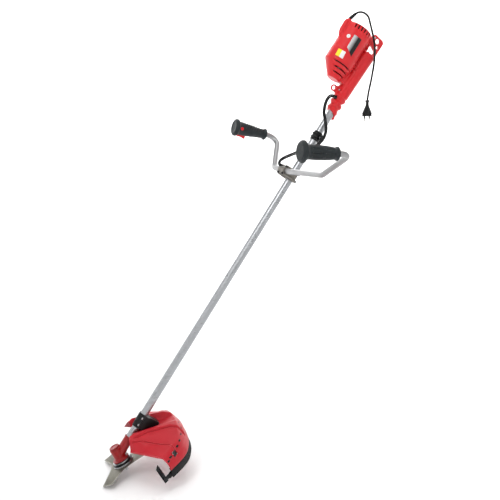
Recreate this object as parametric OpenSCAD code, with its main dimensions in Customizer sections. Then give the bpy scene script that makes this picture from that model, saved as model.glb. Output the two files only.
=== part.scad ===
// Electric brush cutter / string trimmer with a bike-type handlebar, a rear motor and a three-tooth blade.
// Every module is drawn in the tool's own axes: +X runs up the shaft towards the motor, +Y is the
// operator's right and +Z is square to the shaft, on the harness-eye side. The origin of these axes is
// on the shaft's centre line at the handlebar clamp. posed() then tips the whole tool up by
// shaft_elevation about the harness eye, which is the origin of the part's own frame.

/* [Pose] */
// Angle of the shaft above the horizontal, as the tool hangs from its eye
shaft_elevation = 55; // [50:1:60]

/* [Shaft] */
// Outer diameter of the shaft tube
tube_d = 26; // [25:0.5:28]
// Wall of the shaft tube
tube_wall = 1.5; // [1.2:0.1:2]
// Diameter of the solid drive shaft
drive_d = 8; // [7:0.5:9]
// Radial running clearance of shafts in their bushes and bearings
run_gap = 0.05; // [0.03:0.01:0.1]

/* [Motor unit] */
// Height of the motor's axis above the shaft's axis
motor_rise = 74; // [74:1:76]
// Outer radius of the motor housing
motor_r = 50; // [50:0.5:52]
// Wall of the moulded housing
shell_wall = 2.5; // [2:0.1:3]
// Radius of the motor's own shaft
motor_shaft_r = 4; // [3.5:0.5:4]
// Radius of the harness eye's hole
eye_r = 6.5; // [5:0.5:7]

/* [Handlebar] */
// Outer radius of the handlebar tubes
bar_r = 9.5; // [9:0.25:9.5]
// Wall of the handlebar tubes
bar_wall = 1.5; // [1.2:0.1:2]
// Radius of the end disc on each grip
grip_disc_r = 33; // [28:1:34]

/* [Cutting head] */
// Shaft angle above the blade's plane
head_tilt = 29; // [28:1:30]
// Turn of the gear head about the shaft
head_roll = 8; // [0:1:10]
// Shaft angle above the guard's rim
guard_tilt = 41; // [39:1:42]
// Turn of the guard about its own front-to-back line
guard_roll = 3; // [0:1:4]
// Blade radius at its tips
blade_r = 120; // [110:1:122]
// Thickness of the blade
blade_t = 1.6; // [1.4:0.1:2]
// Radius of the blade's centre hole
blade_bore_r = 12.7; // [12.7:0.1:12.7]
// Radius of the guard at its rim
guard_r = 228; // [215:1:232]
// Angle that the guard covers from straight behind to its end on the operator's left
guard_left_angle = 58; // [50:1:60]
// Angle that the guard covers from straight behind to its end on the operator's right
guard_right_angle = 48; // [40:1:60]

/* [Mains lead] */
// Diameter of the mains lead
cord_d = 7; // [7:0.5:8]
// Distance between the plug's two pins
pin_spacing = 19; // [19:1:19]
// Radius of the plug's pins
pin_r = 2.4; // [2:0.1:2.4]

/* [Hidden] */
$fn = 48;
tiny = 0.01;

red = [0.86, 0.18, 0.2];
dark_red = [0.62, 0.1, 0.1];
slate = [0.2, 0.23, 0.24];
black = [0.08, 0.08, 0.09];
alloy = [0.78, 0.8, 0.82];
cast = [0.5, 0.49, 0.46];
steel = [0.6, 0.61, 0.63];
copper = [0.72, 0.42, 0.24];
blade_steel = [0.45, 0.43, 0.38];

// Places along the shaft, measured from the handlebar clamp
eye_x = 326;
eye_z = 41;
tube_low_x = -1050;
tube_high_x = 300;
sleeve_x = 240;
spine_x = 316;
spine_end_x = 480;
cone_x = 346;
barrel_x = 396;
rear_x = 537;
head_x = -1093;
bracket_x0 = -984;
bracket_x1 = -936;
guard_screw_y = 20;
band_x0 = 141;
band_x1 = 174;
pulley_x = 356;
pulley_w = 13;
stack_x0 = 424;
stack_x1 = 472;

// Radii worked out from the driving sizes
tube_r = tube_d / 2;
tube_bore_r = tube_r - tube_wall;
drive_r = drive_d / 2;
bar_bore_r = bar_r - bar_wall;
cavity_r = motor_r - shell_wall;
spine_r0 = 24;
spine_r1 = 29;
sleeve_r = 20;
motor_pulley_r = 7.2;
driven_pulley_r = 16;
motor_teeth = 18;
driven_teeth = 40;
belt_t = 1.6;
loop_w = 17;

// ---- helpers ----

function polar(a) = [cos(a), sin(a)];
function unit(v) = v / norm(v);
function mix(a, b, k) = a + (b - a) * k;

// Frame whose Z axis is d and whose X axis lies nearest to side
function frame_at(p, d, side) =
    let (z = unit(d), y = unit(cross(z, side)), x = cross(y, z))
    [[x[0], y[0], z[0], p[0]], [x[1], y[1], z[1], p[1]], [x[2], y[2], z[2], p[2]], [0, 0, 0, 1]];

// Tips the tool up about the harness eye, which becomes the origin
module posed() {
    rotate([0, -shaft_elevation, 0])
        translate([-eye_x, 0, -eye_z])
            children();
}

// Axes of the cutting head: origin where the spindle meets the shaft, +Z up the spindle
module head() {
    translate([head_x, 0, 0])
        rotate([-head_roll, 0, 0])
            rotate([0, head_tilt, 0])
                children();
}

// Axes of the guard: +Z square to its rim, +X to the rear, origin below the gear head
module guard_axes() {
    translate([head_x, 0, 0])
        rotate([0, guard_tilt, 0])
            rotate([guard_roll, 0, 0])
                translate([0, 0, -40])
                    children();
}

// Cylinder along the tool's X axis from x0 to x1
module rod_x(x0, x1, r0, z = 0, r1 = -1) {
    translate([x0, 0, z])
        rotate([0, 90, 0])
            cylinder(h = x1 - x0, r1 = r0, r2 = (r1 < 0) ? r0 : r1);
}

// Ring along the tool's X axis
module ring_x(x0, x1, r_out, r_in, z = 0) {
    difference() {
        rod_x(x0, x1, r_out, z);
        rod_x(x0 - 1, x1 + 1, r_in, z);
    }
}

// Ring along Z
module ring_z(z0, z1, r_out, r_in) {
    translate([0, 0, z0])
        difference() {
            cylinder(h = z1 - z0, r = r_out);
            translate([0, 0, -1])
                cylinder(h = z1 - z0 + 2, r = r_in);
        }
}

// Cylinder along the tool's Y axis, centred on y
module rod_y(x, y, z, h, r) {
    translate([x, y, z])
        rotate([90, 0, 0])
            cylinder(h = h, r = r, center = true);
}

// Points round one bend of a tube, at corner p between the directions d0 and d1
function bend_points(p, d0, d1, bend_r, steps) =
    let (turn = acos(d0 * d1), inward = unit(d1 - d0 * (d0 * d1)))
    let (start = p - d0 * bend_r * tan(turn / 2))
    [
        for (i = [0:steps])
            let (a = turn * i / steps)
            start + inward * bend_r * (1 - cos(a)) + d0 * bend_r * sin(a)
    ];

// Centre line of a bent tube, whose two ends go on by extra
function bent_path(corners, bends, extra) =
    let (last = len(corners) - 1)
    let (dirs = [for (i = [0:last - 1]) unit(corners[i + 1] - corners[i])])
    [
        corners[0] - dirs[0] * extra,
        for (i = [1:last - 1]) each bend_points(corners[i], dirs[i - 1], dirs[i], bends[i - 1], 6),
        corners[last] + dirs[last - 1] * extra
    ];

// Bent handlebar tube whose first stretch, from y0 to y1, turns in the clamp
module bar_tube(corners, bends, y0, y1) {
    difference() {
        union() {
            rod_y(0, (y0 + y1) / 2, bar_z, abs(y1 - y0), bar_r);
            swept(bent_path(corners, bends, 0), bar_r - 0.05, 20, bar_side);
        }
        swept(bent_path(corners, bends, 9), bar_bore_r, 20, bar_side);
    }
}

// Smooth curve through hand-placed points, as a list of rings for a polyhedron
function spline_point(a, b, c, d, k) =
    0.5 * ((2 * b) + (c - a) * k + (2 * a - 5 * b + 4 * c - d) * k * k
        + (3 * b - a - 3 * c + d) * k * k * k);
function spline(points, steps) = [
    for (i = [0:len(points) - 2], j = [0:steps - 1])
        spline_point(points[max(i - 1, 0)], points[i], points[i + 1],
            points[min(i + 2, len(points) - 1)], j / steps),
    points[len(points) - 1]
];
function tangent(path, i) = unit(path[min(i + 1, len(path) - 1)] - path[max(i - 1, 0)]);

// Solid cord of radius r swept along a path, with flat ends
module swept(path, r, sides, side = [0, 1, 0.05]) {
    n = len(path);
    points = [
        for (i = [0:n - 1])
            let (t = tangent(path, i), v = unit(cross(t, side)), u = cross(v, t))
            for (j = [0:sides - 1])
                path[i] + r * (cos(360 * j / sides) * u + sin(360 * j / sides) * v)
    ];
    walls = [
        for (i = [0:n - 2], j = [0:sides - 1])
            let (k = (j + 1) % sides)
            [i * sides + j, (i + 1) * sides + j, (i + 1) * sides + k, i * sides + k]
    ];
    near_cap = [[for (j = [0:sides - 1]) j]];
    far_cap = [[for (j = [sides - 1:-1:0]) (n - 1) * sides + j]];
    polyhedron(points = points, faces = concat(near_cap, walls, far_cap), convexity = 8);
}

// ---- motor housing ----

// Outside of both half shells
module housing_form() {
    // motor barrel with a rounded rear edge
    translate([0, 0, motor_rise])
        rotate([0, 90, 0])
            rotate_extrude()
                polygon([
                    [0, barrel_x], [motor_r, barrel_x], [motor_r, rear_x - 8],
                    [motor_r - 2, rear_x - 3], [motor_r - 6, rear_x], [0, rear_x]
                ]);
    // slanting front cone over the belt drive
    hull() {
        rod_x(barrel_x - tiny, barrel_x + 1, motor_r, motor_rise, $fn = 32);
        rod_x(cone_x, cone_x + 2, 24, 60, $fn = 32);
    }
    // spine round the shaft, growing towards the rear
    rod_x(spine_x, spine_end_x, spine_r0, 0, spine_r1);
    // neck between the spine and the cone
    translate([pulley_x - 6, -20, 0])
        cube([46, 40, 46]);
    // sleeve that grips the tube
    rod_x(sleeve_x + 12, spine_x, sleeve_r, 3, spine_r0 - 1);
    // flared foot at the sleeve's mouth
    hull() {
        rod_x(sleeve_x - 6, sleeve_x + 2, 9, -9, $fn = 32);
        rod_x(sleeve_x + 14, sleeve_x + 24, 17, 1, $fn = 32);
    }
    // rear loop for the cord
    hull() {
        rod_y(474, 0, -7, loop_w, 21, $fn = 32);
        rod_y(541, 0, -16, loop_w, 11, $fn = 32);
        rod_y(544, 0, 8, loop_w, 10, $fn = 32);
        rod_y(482, 0, 26, loop_w, 8, $fn = 32);
    }
    // cord entry pod on the barrel's upper rear edge
    hull() {
        rod_x(494, 545, 10, 127, $fn = 32);
        rod_x(462, 470, 6, 114, $fn = 32);
        rod_x(500, 547, 14, 112, $fn = 32);
    }
    // harness eye and its web
    hull() {
        rod_y(eye_x, 0, eye_z, 10, eye_r + 5, $fn = 32);
        rod_y(eye_x + 16, 0, 14, 10, 9, $fn = 32);
        rod_y(eye_x - 4, 0, 14, 10, 9, $fn = 32);
    }
}

// Space inside both half shells
module housing_hollow() {
    rod_x(barrel_x, rear_x - shell_wall, cavity_r, motor_rise);
    hull() {
        rod_x(barrel_x - tiny, barrel_x + 1, cavity_r, motor_rise, $fn = 32);
        rod_x(cone_x + shell_wall, cone_x + 4, 24 - shell_wall, 60, $fn = 32);
    }
    rod_x(pulley_x - 6 + shell_wall, 388, 22.4);
    translate([pulley_x - 6 + shell_wall, -20 + shell_wall, 0])
        cube([35, 40 - 2 * shell_wall, 46]);
    rod_x(sleeve_x - 20, tube_high_x, tube_r);
    rod_x(tube_high_x - 1, 420, drive_r + 1.5);
    rod_y(eye_x, 0, eye_z, 20, eye_r);
    // ball seats of the two shaft bearings
    rod_x(336, 345, 11);
    rod_x(388, 397, 11);
    // opening of the cord loop
    hull() {
        rod_y(492, 0, 7, 40, 3, $fn = 24);
        rod_y(515, 0, 8, 40, 3, $fn = 24);
        rod_y(479, 0, -9, 40, 3, $fn = 24);
        rod_y(507, 0, -13, 40, 3, $fn = 24);
    }
    // two small windows behind the cord hook
    rod_y(541, 0, -4, 40, 7);
    rod_y(527, 0, -14, 40, 4.5);
    // cord entry through the pod, and the switch cable's way out of the sleeve
    cord_bore(6.1);
    translate([301, -8, 13])
        cylinder(h = 30, r = cable_r + 0.2);
    // air slots in the rear and in the cone
    for (side = [0, 180], a = [-26:14:44])
        translate([0, 0, motor_rise])
            rotate([(side == 0) ? -a : 180 + a, 0, 0])
                translate([521, -60, -1.8])
                    cube([13, 20, 3.6]);
    for (i = [0:2], y = [-75, 20])
        translate([361 + i * 14, y, 44])
            cube([2.6, 55, 52 + i * 6]);
}

// Straight bore or rod on the cord's line out of the pod
module cord_bore(r) {
    translate(cord_exit)
        rotate([0, cord_lean, 0])
            translate([0, 0, -8.5])
                cylinder(h = 60, r = r);
}

// Keeps one side of the mid-plane
module half_space(side) {
    translate([0, side * 200, 0])
        cube([2000, 400, 800], center = true);
}

module housing_half(side) {
    difference() {
        intersection() {
            difference() {
                housing_form();
                housing_hollow();
            }
            half_space(side);
        }
        for (p = screw_places)
            rod_y(p[0], 0, p[1], 60, 1.7);
    }
}

// Housing screws in X and Z; all of them go in from the left
screw_places = [[290, -17.5], [330, 22], [466, -22], [548, 10], [404, 27]];

module housing_left() {
    color(red)
        posed()
            housing_half(-1);
}

module housing_right() {
    color(red)
        posed()
            housing_half(1);
}

module housing_screws() {
    color(steel)
        posed()
            for (p = screw_places)
                rod_y(p[0], 0, p[1], 12, 1.65);
}

module name_plate() {
    color(black)
        posed()
            translate([0, 0, motor_rise])
                intersection() {
                    ring_x(420, 500, motor_r + 0.9, motor_r + 0.05);
                    rotate([90, 0, 0])
                        linear_extrude(80)
                            polygon([[427, -5], [447, 25], [495, 25], [495, -4]]);
                }
}

module labels() {
    color("white")
        posed()
            translate([0, 0, motor_rise])
                intersection() {
                    ring_x(400, 500, motor_r + 0.5, motor_r + 0.05);
                    rotate([90, 0, 0])
                        linear_extrude(80)
                            union() {
                                translate([482, 37])
                                    circle(r = 6);
                                translate([405, 18])
                                    square([25, 23]);
                            }
                }
}

module terminal_block() {
    color("ivory")
        posed()
            translate([500, -12, 104])
                cube([22, 24, 9]);
}

// ---- motor ----

module stator() {
    color(steel)
        posed()
            difference() {
                ring_x(stack_x0, stack_x1, 44, 27.2, motor_rise);
                for (s = [-1, 1])
                    translate([stack_x0 - 1, s * 32 - 8, motor_rise - 14])
                        cube([stack_x1 - stack_x0 + 2, 16, 28]);
            }
}

module field_coils() {
    color(copper)
        posed()
            for (s = [-1, 1])
                translate([stack_x0 - 8, s * 33.5 - 5.5, motor_rise - 13])
                    difference() {
                        cube([stack_x1 - stack_x0 + 16, 11, 26]);
                        translate([8.5, -1, 5])
                            cube([stack_x1 - stack_x0 - 1, 13, 16]);
                    }
}

module motor_bracket() {
    color(cast)
        posed()
            difference() {
                rod_x(390, 396, 41, motor_rise - 2);
                rod_x(389, 397, 9.5, motor_rise);
                rod_x(380, 400, 12, 26);
                translate([380, -30, 0])
                    cube([30, 60, 44]);
            }
}

module motor_bearings() {
    color(steel)
        posed() {
            ring_x(390, 396, 9.5, motor_shaft_r + run_gap, motor_rise);
            ring_x(523, 530, 9.5, motor_shaft_r + run_gap, motor_rise);
            // spider that carries the rear bearing in the shells
            difference() {
                rod_x(523, 528, cavity_r, motor_rise);
                rod_x(520, 532, 9.5, motor_rise);
                for (a = [45:90:315])
                    translate([0, 0, motor_rise])
                        rotate([a, 0, 0])
                            translate([518, 14, -12])
                                cube([15, 40, 24]);
            }
        }
}

module brush_holders() {
    color("goldenrod")
        posed()
            for (s = [-1, 1])
                translate([492, (s > 0) ? 13 : -36, motor_rise - 5])
                    cube([14, 23, 10]);
}

module armature() {
    color(steel)
        posed() {
            rod_x(352, 532, motor_shaft_r, motor_rise);
            difference() {
                rod_x(stack_x0 - 2, stack_x1 + 2, 26.5, motor_rise);
                for (a = [0:30:330])
                    translate([0, 0, motor_rise])
                        rotate([a, 0, 0])
                            translate([stack_x0 - 5, 20, -1])
                                cube([stack_x1 - stack_x0 + 10, 10, 2]);
            }
        }
}

module commutator() {
    color(copper)
        posed()
            ring_x(486, 510, 12, motor_shaft_r, motor_rise);
}

module cooling_fan() {
    color(slate)
        posed()
            difference() {
                union() {
                    ring_x(400, 402, 42, motor_shaft_r, motor_rise);
                    ring_x(400, 412, 8, motor_shaft_r, motor_rise);
                    translate([0, 0, motor_rise])
                        for (a = [0:30:330])
                            rotate([a, 0, 0])
                                translate([401, 12, -0.8])
                                    cube([9, 28, 1.6]);
                }
                rod_x(399, 413, motor_shaft_r, motor_rise);
            }
}

// Toothed pulley with side flanges
module pulley(r, z, bore, teeth) {
    difference() {
        union() {
            rod_x(pulley_x, pulley_x + pulley_w, r - 0.3, z);
            rod_x(pulley_x - 1, pulley_x, r + 1.2, z);
            rod_x(pulley_x + pulley_w, pulley_x + pulley_w + 1, r + 1.2, z);
        }
        rod_x(pulley_x - 2, pulley_x + pulley_w + 2, bore, z);
        translate([0, 0, z])
            for (i = [0:teeth - 1])
                rotate([360 * i / teeth, 0, 0])
                    translate([pulley_x, r - 1, -0.6])
                        cube([pulley_w, 2, 1.2]);
    }
}

module motor_pulley() {
    color(steel)
        posed()
            pulley(motor_pulley_r, motor_rise, motor_shaft_r, motor_teeth);
}

module driven_pulley() {
    color(cast)
        posed()
            pulley(driven_pulley_r, 0, drive_r, driven_teeth);
}

module drive_belt() {
    color(black)
        posed()
            translate([pulley_x + 1, 0, 0])
                rotate([90, 0, 90])
                    linear_extrude(pulley_w - 2)
                        difference() {
                            hull() {
                                circle(r = driven_pulley_r + belt_t);
                                translate([0, motor_rise])
                                    circle(r = motor_pulley_r + belt_t);
                            }
                            hull() {
                                circle(r = driven_pulley_r + 0.1);
                                translate([0, motor_rise])
                                    circle(r = motor_pulley_r + 0.1);
                            }
                        }
}

module shaft_bearings() {
    color(steel)
        posed() {
            ring_x(336, 345, 11, drive_r + run_gap);
            ring_x(388, 397, 11, drive_r + run_gap);
        }
}

// ---- shaft ----

module shaft_tube() {
    color(alloy)
        posed()
            ring_x(tube_low_x, tube_high_x, tube_r, tube_bore_r);
}

module drive_shaft() {
    color(steel)
        posed()
            rod_x(head_x + 17, 400, drive_r);
}

module shaft_bushings() {
    color("ivory")
        posed()
            for (x = [-1000:300:200])
                ring_x(x, x + 24, tube_bore_r, drive_r + run_gap);
}

module cable_band() {
    color(black)
        posed()
            difference() {
                ring_x(band_x0, band_x1, tube_r + 3, tube_r);
                for (x = [band_x0 + 10, band_x1 - 12])
                    ring_x(x, x + 2, tube_r + 5, tube_r + 2);
            }
}

// ---- handlebar ----

bar_z = 36;
bar_side = [1, 0, 0.6];
clamp_x = 17.5;
clamp_y = 21.5;
clamp_bolt_x = 13;
clamp_bolt_y = 17;
left_corners = [
    [0, -8, bar_z], [0, -44, bar_z], [12, -268, 44], [88, -388, 62], [67, -387.5, 99],
    [12.4, -386.2, 195.2]
];
right_corners = [
    [0, 8, bar_z], [0, 78, bar_z], [116, 199, 30], [96, 199, 82], [78, 199, 128.8]
];
left_bends = [60, 34, 24];
right_bends = [34, 34];

// Frame of a grip: origin at the grip's root, +Z along the bar to its free end
module at_left_grip() {
    multmatrix(frame_at(left_corners[4], left_corners[5] - left_corners[4], [0, -1, 0]))
        children();
}

module at_right_grip() {
    multmatrix(frame_at(right_corners[3], right_corners[4] - right_corners[3], [0, 1, 0]))
        children();
}

module left_handlebar() {
    color(alloy)
        posed()
            bar_tube([for (i = [0, 1, 2, 3, 5]) left_corners[i]], left_bends, -3, -34);
}

module right_handlebar() {
    color(alloy)
        posed()
            bar_tube([for (i = [0, 1, 2, 4]) right_corners[i]], right_bends, 3, 40);
}

// The four clamp bolts
module at_clamp_bolts() {
    for (x = [-clamp_bolt_x, clamp_bolt_x], y = [-clamp_bolt_y, clamp_bolt_y])
        translate([x, y, 0])
            children();
}

module bar_clamp_base() {
    color(cast)
        posed()
            difference() {
                translate([-clamp_x, -clamp_y, -tube_r - 4])
                    cube([2 * clamp_x, 2 * clamp_y, bar_z + tube_r + 3.5]);
                rod_x(-30, 30, tube_r);
                rod_y(0, 0, bar_z, 60, bar_r + run_gap);
                at_clamp_bolts()
                    translate([0, 0, -30])
                        cylinder(h = 80, r = 2.6);
            }
}

module bar_clamp_cap() {
    color(cast)
        posed()
            difference() {
                union() {
                    translate([-clamp_x, -clamp_y, bar_z + 0.5])
                        cube([2 * clamp_x, 2 * clamp_y, 5]);
                    intersection() {
                        rod_y(0, 0, bar_z, 2 * clamp_y, bar_r + 4);
                        translate([-20, -clamp_y, bar_z + 0.5])
                            cube([40, 2 * clamp_y, 20]);
                    }
                }
                rod_y(0, 0, bar_z, 60, bar_r + run_gap);
                at_clamp_bolts() {
                    cylinder(h = 80, r = 2.6);
                    translate([0, 0, bar_z + 5.5])
                        cylinder(h = 20, r = 4.5);
                }
            }
}

module bar_clamp_bolts() {
    color(black)
        posed()
            at_clamp_bolts() {
                translate([0, 0, -tube_r - 10])
                    cylinder(h = bar_z + tube_r + 16, r = 2.5);
                translate([0, 0, bar_z + 5.5])
                    cylinder(h = 5, r = 4.2);
                translate([0, 0, -tube_r - 9])
                    cylinder(h = 5, r = 4.4, $fn = 6);
            }
}

grip_len = 124;
module left_grip() {
    color(slate)
        posed()
            at_left_grip()
                difference() {
                    rotate_extrude()
                        polygon([
                            [0, 0], [19, 0], [21, 3], [20, 6], [18.5, 10], [22, 45], [23.5, 70], [23, 96],
                            [25, 106], [grip_disc_r, 111], [grip_disc_r, 117], [28, grip_len], [0, grip_len]
                        ]);
                    translate([0, 0, -1])
                        cylinder(h = 114, r = bar_r + 0.02);
                }
}

// The switch grip's own axes: +Z to its free end, +Y to the trigger's side, -X to the thumb's side
trigger_pivot_z = 104;
trigger_pivot_y = 17;
button_z = 98;
grip_screw_z = [10, 62];

// Outside of the switch grip's two halves
module switch_grip_form() {
    rotate_extrude()
        polygon([
            [0, -3], [19, -3], [20.5, 0], [20, 3], [16.5, 8], [18.5, 35], [21.5, 60], [23.5, 88],
            [24, 104], [29, 109], [30, 113], [29, 118], [25, 121], [0, 121]
        ]);
}

module switch_grip_half(side) {
    difference() {
        intersection() {
            switch_grip_form();
            translate([side * 50, 0, 50])
                cube([100, 100, 300], center = true);
        }
        translate([0, 0, -10])
            cylinder(h = 62, r = bar_r + 0.02);
        // space for the switch, the trigger and the lock button
        translate([-12, -15, 58])
            cube([24, 30, 48]);
        translate([-5, 10, 68])
            cube([10, 20, 40]);
        translate([-40, 0, button_z])
            rotate([0, 90, 0])
                cylinder(h = 40, r = 5.3);
        rotate([0, 90, 0])
            translate([-trigger_pivot_z, trigger_pivot_y, 0])
                cylinder(h = 16, r = 2.05, center = true);
        for (z = grip_screw_z)
            translate([0, -13.4, z])
                rotate([0, 90, 0])
                    cylinder(h = 60, r = 1.6, center = true);
    }
}

module switch_grip_left() {
    color(slate)
        posed()
            at_right_grip()
                switch_grip_half(-1);
}

module switch_grip_right() {
    color(slate)
        posed()
            at_right_grip()
                switch_grip_half(1);
}

module grip_screws() {
    color(steel)
        posed()
            at_right_grip()
                for (z = grip_screw_z)
                    translate([0, -13.4, z])
                        rotate([0, 90, 0])
                            cylinder(h = 22, r = 1.55, center = true);
}

module trigger() {
    color(red)
        posed()
            at_right_grip()
                difference() {
                    union() {
                        translate([-4.4, 0, 0])
                            rotate([90, 0, 90])
                                linear_extrude(8.8)
                                    polygon([
                                        [14, 72], [31, 74], [33, 77], [29.5, 84], [28.5, 92], [28.5, 101],
                                        [24, 105], [17, 106.5], [14, 100]
                                    ]);
                        rotate([0, 90, 0])
                            translate([-trigger_pivot_z, trigger_pivot_y, 0])
                                cylinder(h = 15, r = 2, center = true);
                    }
                    translate([-10, 13, 80])
                        rotate([0, 90, 0])
                            cylinder(h = 20, r = 3);
                }
}

module lock_button() {
    color(red)
        posed()
            at_right_grip()
                translate([-27, 0, button_z])
                    rotate([0, 90, 0]) {
                        cylinder(h = 17, r = 5.2);
                        translate([0, 0, 15.2])
                            cylinder(h = 2.5, r = 6.5);
                    }
}

module power_switch() {
    color(black)
        posed()
            at_right_grip()
                translate([-9, -11.5, 62])
                    cube([18, 15.5, 28]);
}

module trigger_spring() {
    color(steel)
        posed()
            at_right_grip()
                translate([0, 4.2, 76])
                    rotate([-90, 0, 0])
                        difference() {
                            cylinder(h = 9.4, r = 2.6);
                            translate([0, 0, -1])
                                cylinder(h = 12, r = 1.9);
                        }
}

// ---- leads ----

// The switch cable leaves the sleeve below the eye, passes round the shaft and enters the right bar
cable_route = [
    [301, -8, 16], [301, -8, 28], [294, -12, 40], [281, -16, 46], [259, -22, 46], [233, -26, 36],
    [216, -28, 20], [192, -32, 0], [170, -34, -8], [143, -33, -8], [120, -27, -1], [92, -10, 20],
    [64, 12, 34], [44, 27, 44], [28, 34, 50], [16, 32, 50], [11, 26, 46], [11, 21.5, 45]
];
cable_r = 4.5;
module control_cable() {
    color(black)
        posed()
            swept(spline(cable_route, 2), cable_r, 10);
}

// The lead leaves the pod in its sleeve, arches over the rear and hangs down with its plug
cord_exit = [549, 0, 122];
cord_lean = 108;
sleeve_length = 20;
cord_route = [
    [77.5, 0, 241], [85, -1, 245], [93.5, -3, 246.7], [102, -5, 245.6], [110, -7.5, 242],
    [116.5, -10, 236], [120.5, -12.5, 229], [122.5, -14.5, 221], [125, -16.5, 209],
    [128.5, -19, 194], [132, -21.5, 178], [135.5, -24, 160], [138, -26.5, 141], [139, -28, 122],
    [138, -29.5, 104], [136, -31, 86], [133, -32, 66], [129, -32.5, 44], [124.5, -33, 22],
    [119.5, -33.5, 0], [115, -34, -21], [112, -34, -42]
];
plug_top = cord_route[len(cord_route) - 1];
module mains_cord() {
    color(black)
        swept(spline(cord_route, 2), cord_d / 2, 10);
}

module cord_sleeve() {
    color(black)
        posed()
            translate(cord_exit)
                rotate([0, cord_lean, 0]) {
                    translate([0, 0, -8])
                        cylinder(h = 12, r = 6);
                    translate([0, 0, 4])
                        cylinder(h = sleeve_length - 4, r1 = 6, r2 = 4.6);
                }
}

module plug_body() {
    color(black)
        translate(plug_top) {
            translate([0, 0, -5])
                cylinder(h = 5, r1 = 8.5, r2 = 5);
            translate([0, 0, -20])
                cylinder(h = 16, r = 5.5);
            hull() {
                translate([0, 0, -24])
                    cylinder(h = 6, r = 5.5, $fn = 32);
                for (s = [-1, 1])
                    translate([s * 10, 0, -54])
                        cylinder(h = 12, r = 7.5, $fn = 32);
            }
        }
}

module plug_pins() {
    color(steel)
        translate(plug_top)
            for (s = [-1, 1])
                translate([s * pin_spacing / 2, 0, -72])
                    cylinder(h = 18, r = pin_r);
}

// ---- guard ----

blade_z = -33;
guard_shift = 7;
rim_z = 25;

// Height of the guard's outer face above its rim plane; k runs from the front edge (0) to the rim (1)
// and a is the angle from straight behind, negative on the operator's left
function guard_drop(a) = (a < 0) ? 33 * pow(-a / 58, 1.7) : 38 * pow(a / 48, 1.7);
function guard_height(k, a) =
    let (top = 90 - 8 * k - guard_drop(a) * (1 - 0.55 * k))
    (k < 0.7) ? top : mix(top, rim_z, pow((k - 0.7) / 0.3, 1.25));
function guard_radius(k) = (k < 0.7) ? mix(64, 202, k / 0.7) : mix(202, guard_r, sin(90 * (k - 0.7) / 0.3));
function guard_point(k, a, inset) =
    let (r = guard_radius(k) - inset * pow(k, 4), z = guard_height(k, a) - inset * (1 - pow(k, 6)))
    [guard_shift + r * cos(a), r * sin(a), z];

module guard_shell(inset0, inset1) {
    n = 20;
    m = 24;
    outer = [
        for (i = [0:n], j = [0:m])
            guard_point(i / n, mix(-guard_left_angle, guard_right_angle, j / m), inset0)
    ];
    inner = [
        for (i = [0:n], j = [0:m])
            guard_point(i / n, mix(-guard_left_angle, guard_right_angle, j / m), inset1)
    ];
    w = m + 1;
    o = len(outer);
    top = [
        for (i = [0:n - 1], j = [0:m - 1])
            [i * w + j, i * w + j + 1, (i + 1) * w + j + 1, (i + 1) * w + j]
    ];
    bottom = [
        for (i = [0:n - 1], j = [0:m - 1])
            [o + (i + 1) * w + j, o + (i + 1) * w + j + 1, o + i * w + j + 1, o + i * w + j]
    ];
    front_edge = [for (j = [0:m - 1]) [o + j, o + j + 1, j + 1, j]];
    rim_edge = [
        for (j = [0:m - 1])
            [n * w + j, n * w + j + 1, o + n * w + j + 1, o + n * w + j]
    ];
    left_edge = [for (i = [0:n - 1]) [i * w, (i + 1) * w, o + (i + 1) * w, o + i * w]];
    right_edge = [
        for (i = [0:n - 1])
            [o + i * w + m, o + (i + 1) * w + m, (i + 1) * w + m, i * w + m]
    ];
    polyhedron(
        points = concat(outer, inner),
        faces = concat(top, bottom, front_edge, rim_edge, left_edge, right_edge),
        convexity = 6
    );
}

module guard() {
    color(red)
        posed()
            difference() {
                guard_axes()
                    guard_shell(0, 2.6);
                rod_x(head_x, bracket_x1, tube_r + 0.5);
            }
}

skirt_r = guard_r - 4.5;
module guard_skirt() {
    color(black)
        posed()
            guard_axes()
                translate([guard_shift, 0, 4])
                    rotate([0, 0, -guard_left_angle])
                        rotate_extrude(angle = guard_left_angle + guard_right_angle, $fn = 120)
                            translate([skirt_r - 2.5, 0])
                                square([2.5, 28]);
}

// Axes of the skirt's left end, +X outwards and +Y back along the rim
module at_skirt_end() {
    guard_axes()
        translate([guard_shift, 0, 0])
            rotate([0, 0, -guard_left_angle])
                translate([skirt_r - 2.7, 0, 0])
                    children();
}

// Plate on the skirt's inner face with an arm that points inwards, across the line's path
module line_cutter() {
    color(black)
        posed() {
            guard_axes()
                translate([guard_shift, 0, -3])
                    rotate([0, 0, -guard_left_angle])
                        rotate_extrude(angle = 9, $fn = 120)
                            translate([skirt_r - 5, 0])
                                square([2.2, 20]);
            at_skirt_end() {
                translate([-2.3, -24, -3])
                    cube([2.2, 24.1, 20]);
                translate([-2.3, -24, -3])
                    rotate([0, 0, -32])
                        translate([-88, 0, 0]) {
                            cube([90, 2, 16]);
                            cube([8, 2, 22]);
                        }
            }
        }
}

module cutter_screws() {
    color(steel)
        posed()
            guard_axes()
                for (a = [3, 7])
                    translate([guard_shift, 0, 10])
                        rotate([0, 0, a - guard_left_angle])
                            translate([skirt_r - 7, 0, 0])
                                rotate([0, 90, 0])
                                    cylinder(h = 1.97, r = 3);
}

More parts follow.
